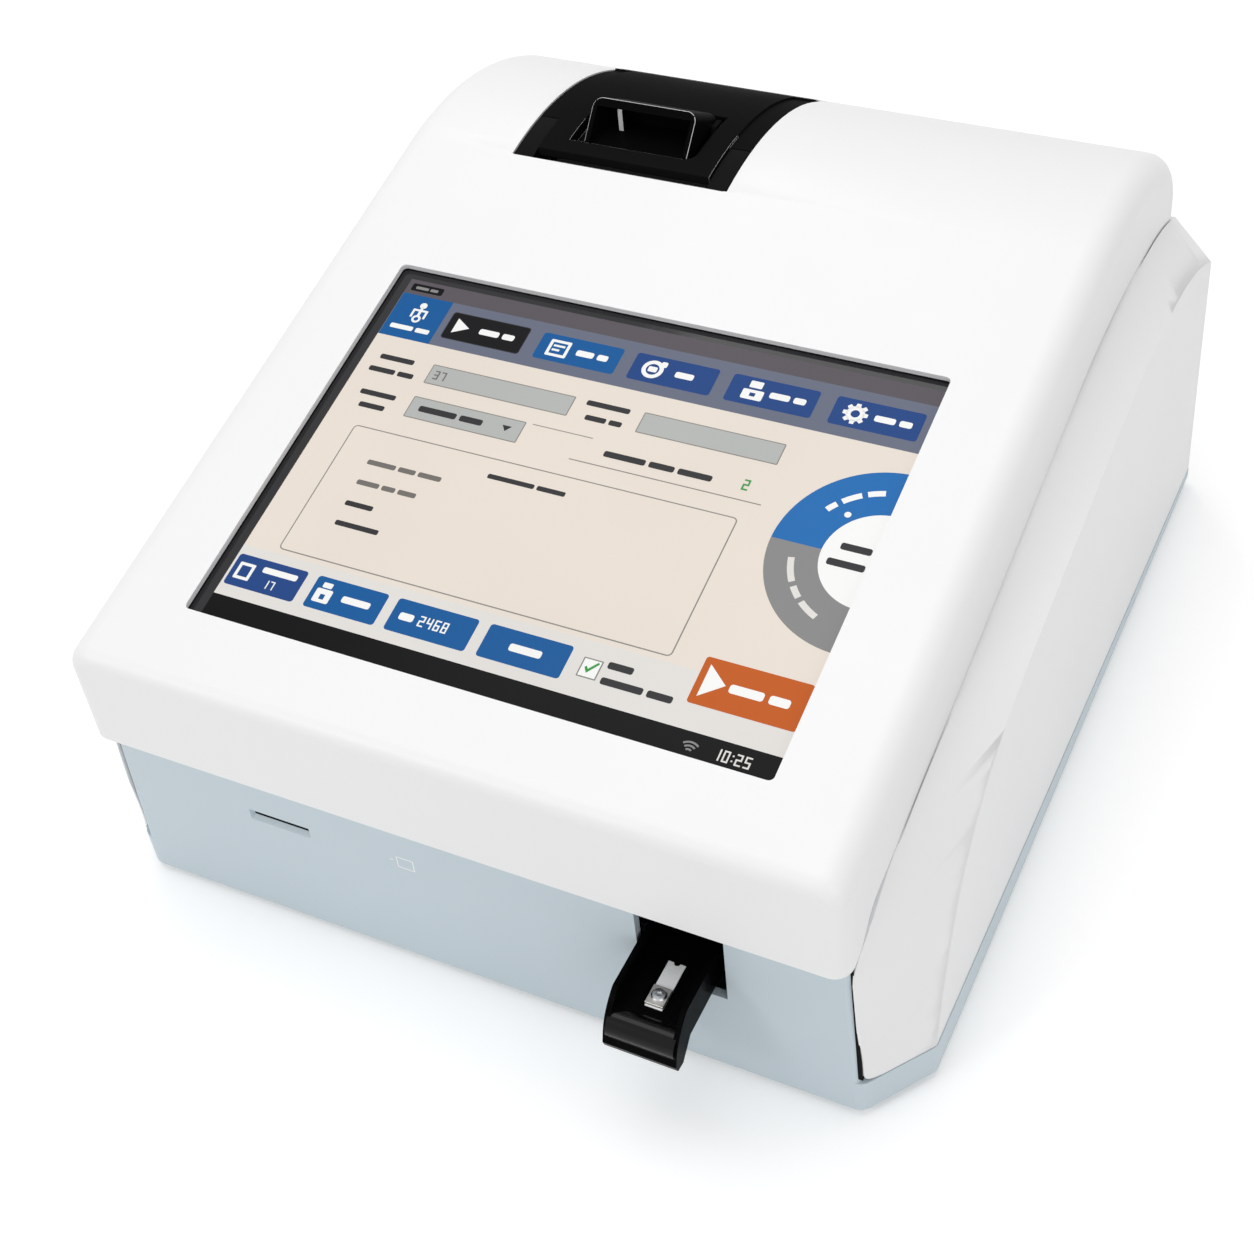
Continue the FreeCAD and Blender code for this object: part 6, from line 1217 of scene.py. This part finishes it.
def under_roof(point):
    """Brings the rib's top flush with the lever's roof."""
    place = place_of(point)
    share = (place.y - LEVER_BROW[0]) / (LEVER_TAIL[0] - LEVER_BROW[0])
    roof = LEVER_BROW[1] + (LEVER_TAIL[1] - LEVER_BROW[1]) * share
    if abs(place.x - LEVER_RIB) < 1.0 and 0.0 < share < 1.0 and place.z > roof:
        place.z = roof
    return (place + ORIGIN) / 1000


def tongue_edge(point):
    """True on the raised tongue's right-hand edge, the pocket's left-hand edge and the sill under the lever, which
    get a painted highlight.
    """
    place = place_of(point)
    tongue = abs(place.x - TONGUE_RIGHT) < 0.5 and place.y < DOOR_BACK + 6.0 and place.z > DOOR_TOP
    pocket = abs(place.x - POCKET_LEFT) < 0.5 and place.y < DOOR_BACK
    sill = abs(place.y - POCKET_FRONT) < 0.5 and abs(place.x - LEVER_MIDDLE) < LEVER_OUTER and place.z > DOOR_TOP
    return tongue or pocket or sill


def thumb_roll(point):
    """True on the rolled thumb piece across the tray's nose."""
    place = place_of(point)
    reach = math.hypot(place.y - THUMB_CENTRE[0], place.z - THUMB_CENTRE[1])
    return abs(reach - THUMB_RADIUS) < 0.12 and abs(place.x - TRAY_CENTRE) < THUMB_HALF


class READER_OT_printer(bpy.types.Operator):
    """Rounds the printer's door, frame and lever, paints highlights on the door's and lever's edges, and finishes
    its works
    """
    bl_idname = "reader.printer"
    bl_label = "Ticket printer"

    def execute(self, context):
        # Light grey painted highlight for the picked edges of the door and lever and the front of the lever's rib.
        edge = moulding("Printer painted highlight", (0.7, 0.7, 0.71), (0.55, 0.55, 0.56), 0.2, 0.3, 700.0, 0.1, specular=0.2)
        door = moulding("Printer door black", (0.0075, 0.0075, 0.0076), (0.009, 0.009, 0.0092), 0.45, 0.55, 3000.0,
                        0.2, specular=0.002)
        lever = moulding("Lever black", (0.0026, 0.0026, 0.0027), (0.0034, 0.0034, 0.0035), 0.4, 0.5, 3000.0, 0.2,
                         specular=0.008)
        dress("printer_frame")
        dress("printer_door", 0.0004, lit_edge=tongue_edge, materials=[door, edge])
        dress("release_lever", 0.00045, lit_edge=lever_rim, lit_face=rib_front, settle=under_roof,
              materials=[lever, edge])
        for node in ("platen_sleeve", "platen_shaft", "hinge_pin", "lever_pin", "paper_roll", "lever_spring"):
            dress(node, 0.0)
        for node in ("platen_gear", "print_pinion"):
            dress(node, 0.0, crease=35.0, materials=[finish_of("socket_black")])
        repaint("tear_bar", "print_head", "head_spring", "print_motor")
        return {"FINISHED"}


# ---- card slot ---------------------------------------------------------------------------------------------
def front_slab(work, x0, x1, z0, z1, near, far):
    """A slab that faces forwards, between two depths behind the base's front."""
    corners = [(x0, z0), (x1, z0), (x1, z1), (x0, z1)]
    low, high = [[at(x, BASE_FRONT + depth, z) for x, z in corners] for depth in (far, near)]
    add_slab(work, low, high)


class READER_OT_card_mark(bpy.types.Operator):
    """Prints the small card outline beside the card slot"""
    bl_idname = "reader.card_mark"
    bl_label = "Card mark"

    def execute(self, context):
        left, right, foot, top = CARD_OUTLINE
        work = bmesh.new()
        for span in ((left, right, top - CARD_LINE, top), (left, right, foot, foot + CARD_LINE),
                     (left, left + CARD_LINE, foot + CARD_LINE, top - CARD_LINE),
                     (right - CARD_LINE, right, foot + CARD_LINE, top - CARD_LINE), CARD_DASH):
            front_slab(work, *span, -PRINT_RAISED, PRINT_SUNK)
        white = moulding("Mark white", (0.95, 0.96, 0.97), (0.9, 0.91, 0.92), 0.4, 0.5)
        new_piece("card_mark", mesh_of(work, "card_mark"), "case", "base_blue", (), [white])
        return {"FINISHED"}


class READER_OT_card_painted_shade(bpy.types.Operator):
    """Puts a dark slab of painted shade in the throat of the card slot"""
    bl_idname = "reader.card_throat"
    bl_label = "Card slot's painted shade"

    def execute(self, context):
        work = bmesh.new()
        front_slab(work, *CARD_PAINTED_SHADE, CARD_DEPTH, CARD_DEPTH + CARD_SHADE_THICKNESS)
        new_piece("card_painted_shade", mesh_of(work, "card_painted_shade"), "case", "socket_black", (),
                  [finish_of("printer_black")])
        return {"FINISHED"}


# ---- sockets, boards and optics ----------------------------------------------------------------------------
class READER_OT_works(bpy.types.Operator):
    """Finishes the sockets, the switch, the boards and the optics"""
    bl_idname = "reader.works"
    bl_label = "Sockets, boards and optics"

    def execute(self, context):
        for node in ("switch_body", "power_rocker", "lan_socket", "usb_sockets", "dc_inlet"):
            dress(node, 0.0002)
        done = {name for piece in bpy.data.objects for name in piece.get("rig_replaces", [])}
        repaint(*[node for node in NODES if node not in done])
        return {"FINISHED"}


class READER_PT_panel(bpy.types.Panel):
    """Shows the reader's settings and buttons in the sidebar."""
    bl_idname = "READER_PT_panel"
    bl_label = "Test Reader"
    bl_space_type = "VIEW_3D"
    bl_region_type = "UI"
    bl_category = "Test Reader"

    def draw(self, context):
        layout = self.layout
        scene = context.scene
        for settings in (scene.reader_paint, scene.reader_screen, scene.reader_stage):
            box = layout.box()
            for name in settings.__annotations__:
                box.prop(settings, name)
        for operator in OPERATORS:
            layout.operator(operator.bl_idname)


OPERATORS = (READER_OT_stage, READER_OT_case, READER_OT_painted_gap_shade, READER_OT_feet, READER_OT_screws, READER_OT_screen,
             READER_OT_tray, READER_OT_printer, READER_OT_card_mark, READER_OT_card_painted_shade, READER_OT_works)
CLASSES = (ReaderPaint, ReaderScreen, ReaderStage) + OPERATORS + (READER_PT_panel,)


def register():
    for kind in CLASSES:
        bpy.utils.register_class(kind)
    bpy.types.Scene.reader_paint = PointerProperty(type=ReaderPaint)
    bpy.types.Scene.reader_screen = PointerProperty(type=ReaderScreen)
    bpy.types.Scene.reader_stage = PointerProperty(type=ReaderStage)


def unregister():
    for name in ("reader_paint", "reader_screen", "reader_stage"):
        delattr(bpy.types.Scene, name)
    for kind in reversed(CLASSES):
        bpy.utils.unregister_class(kind)


def main():
    """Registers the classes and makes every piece."""
    register()
    for operator in OPERATORS:
        category, name = operator.bl_idname.split(".")
        getattr(getattr(bpy.ops, category), name)()


if __name__ == "__main__":
    main()
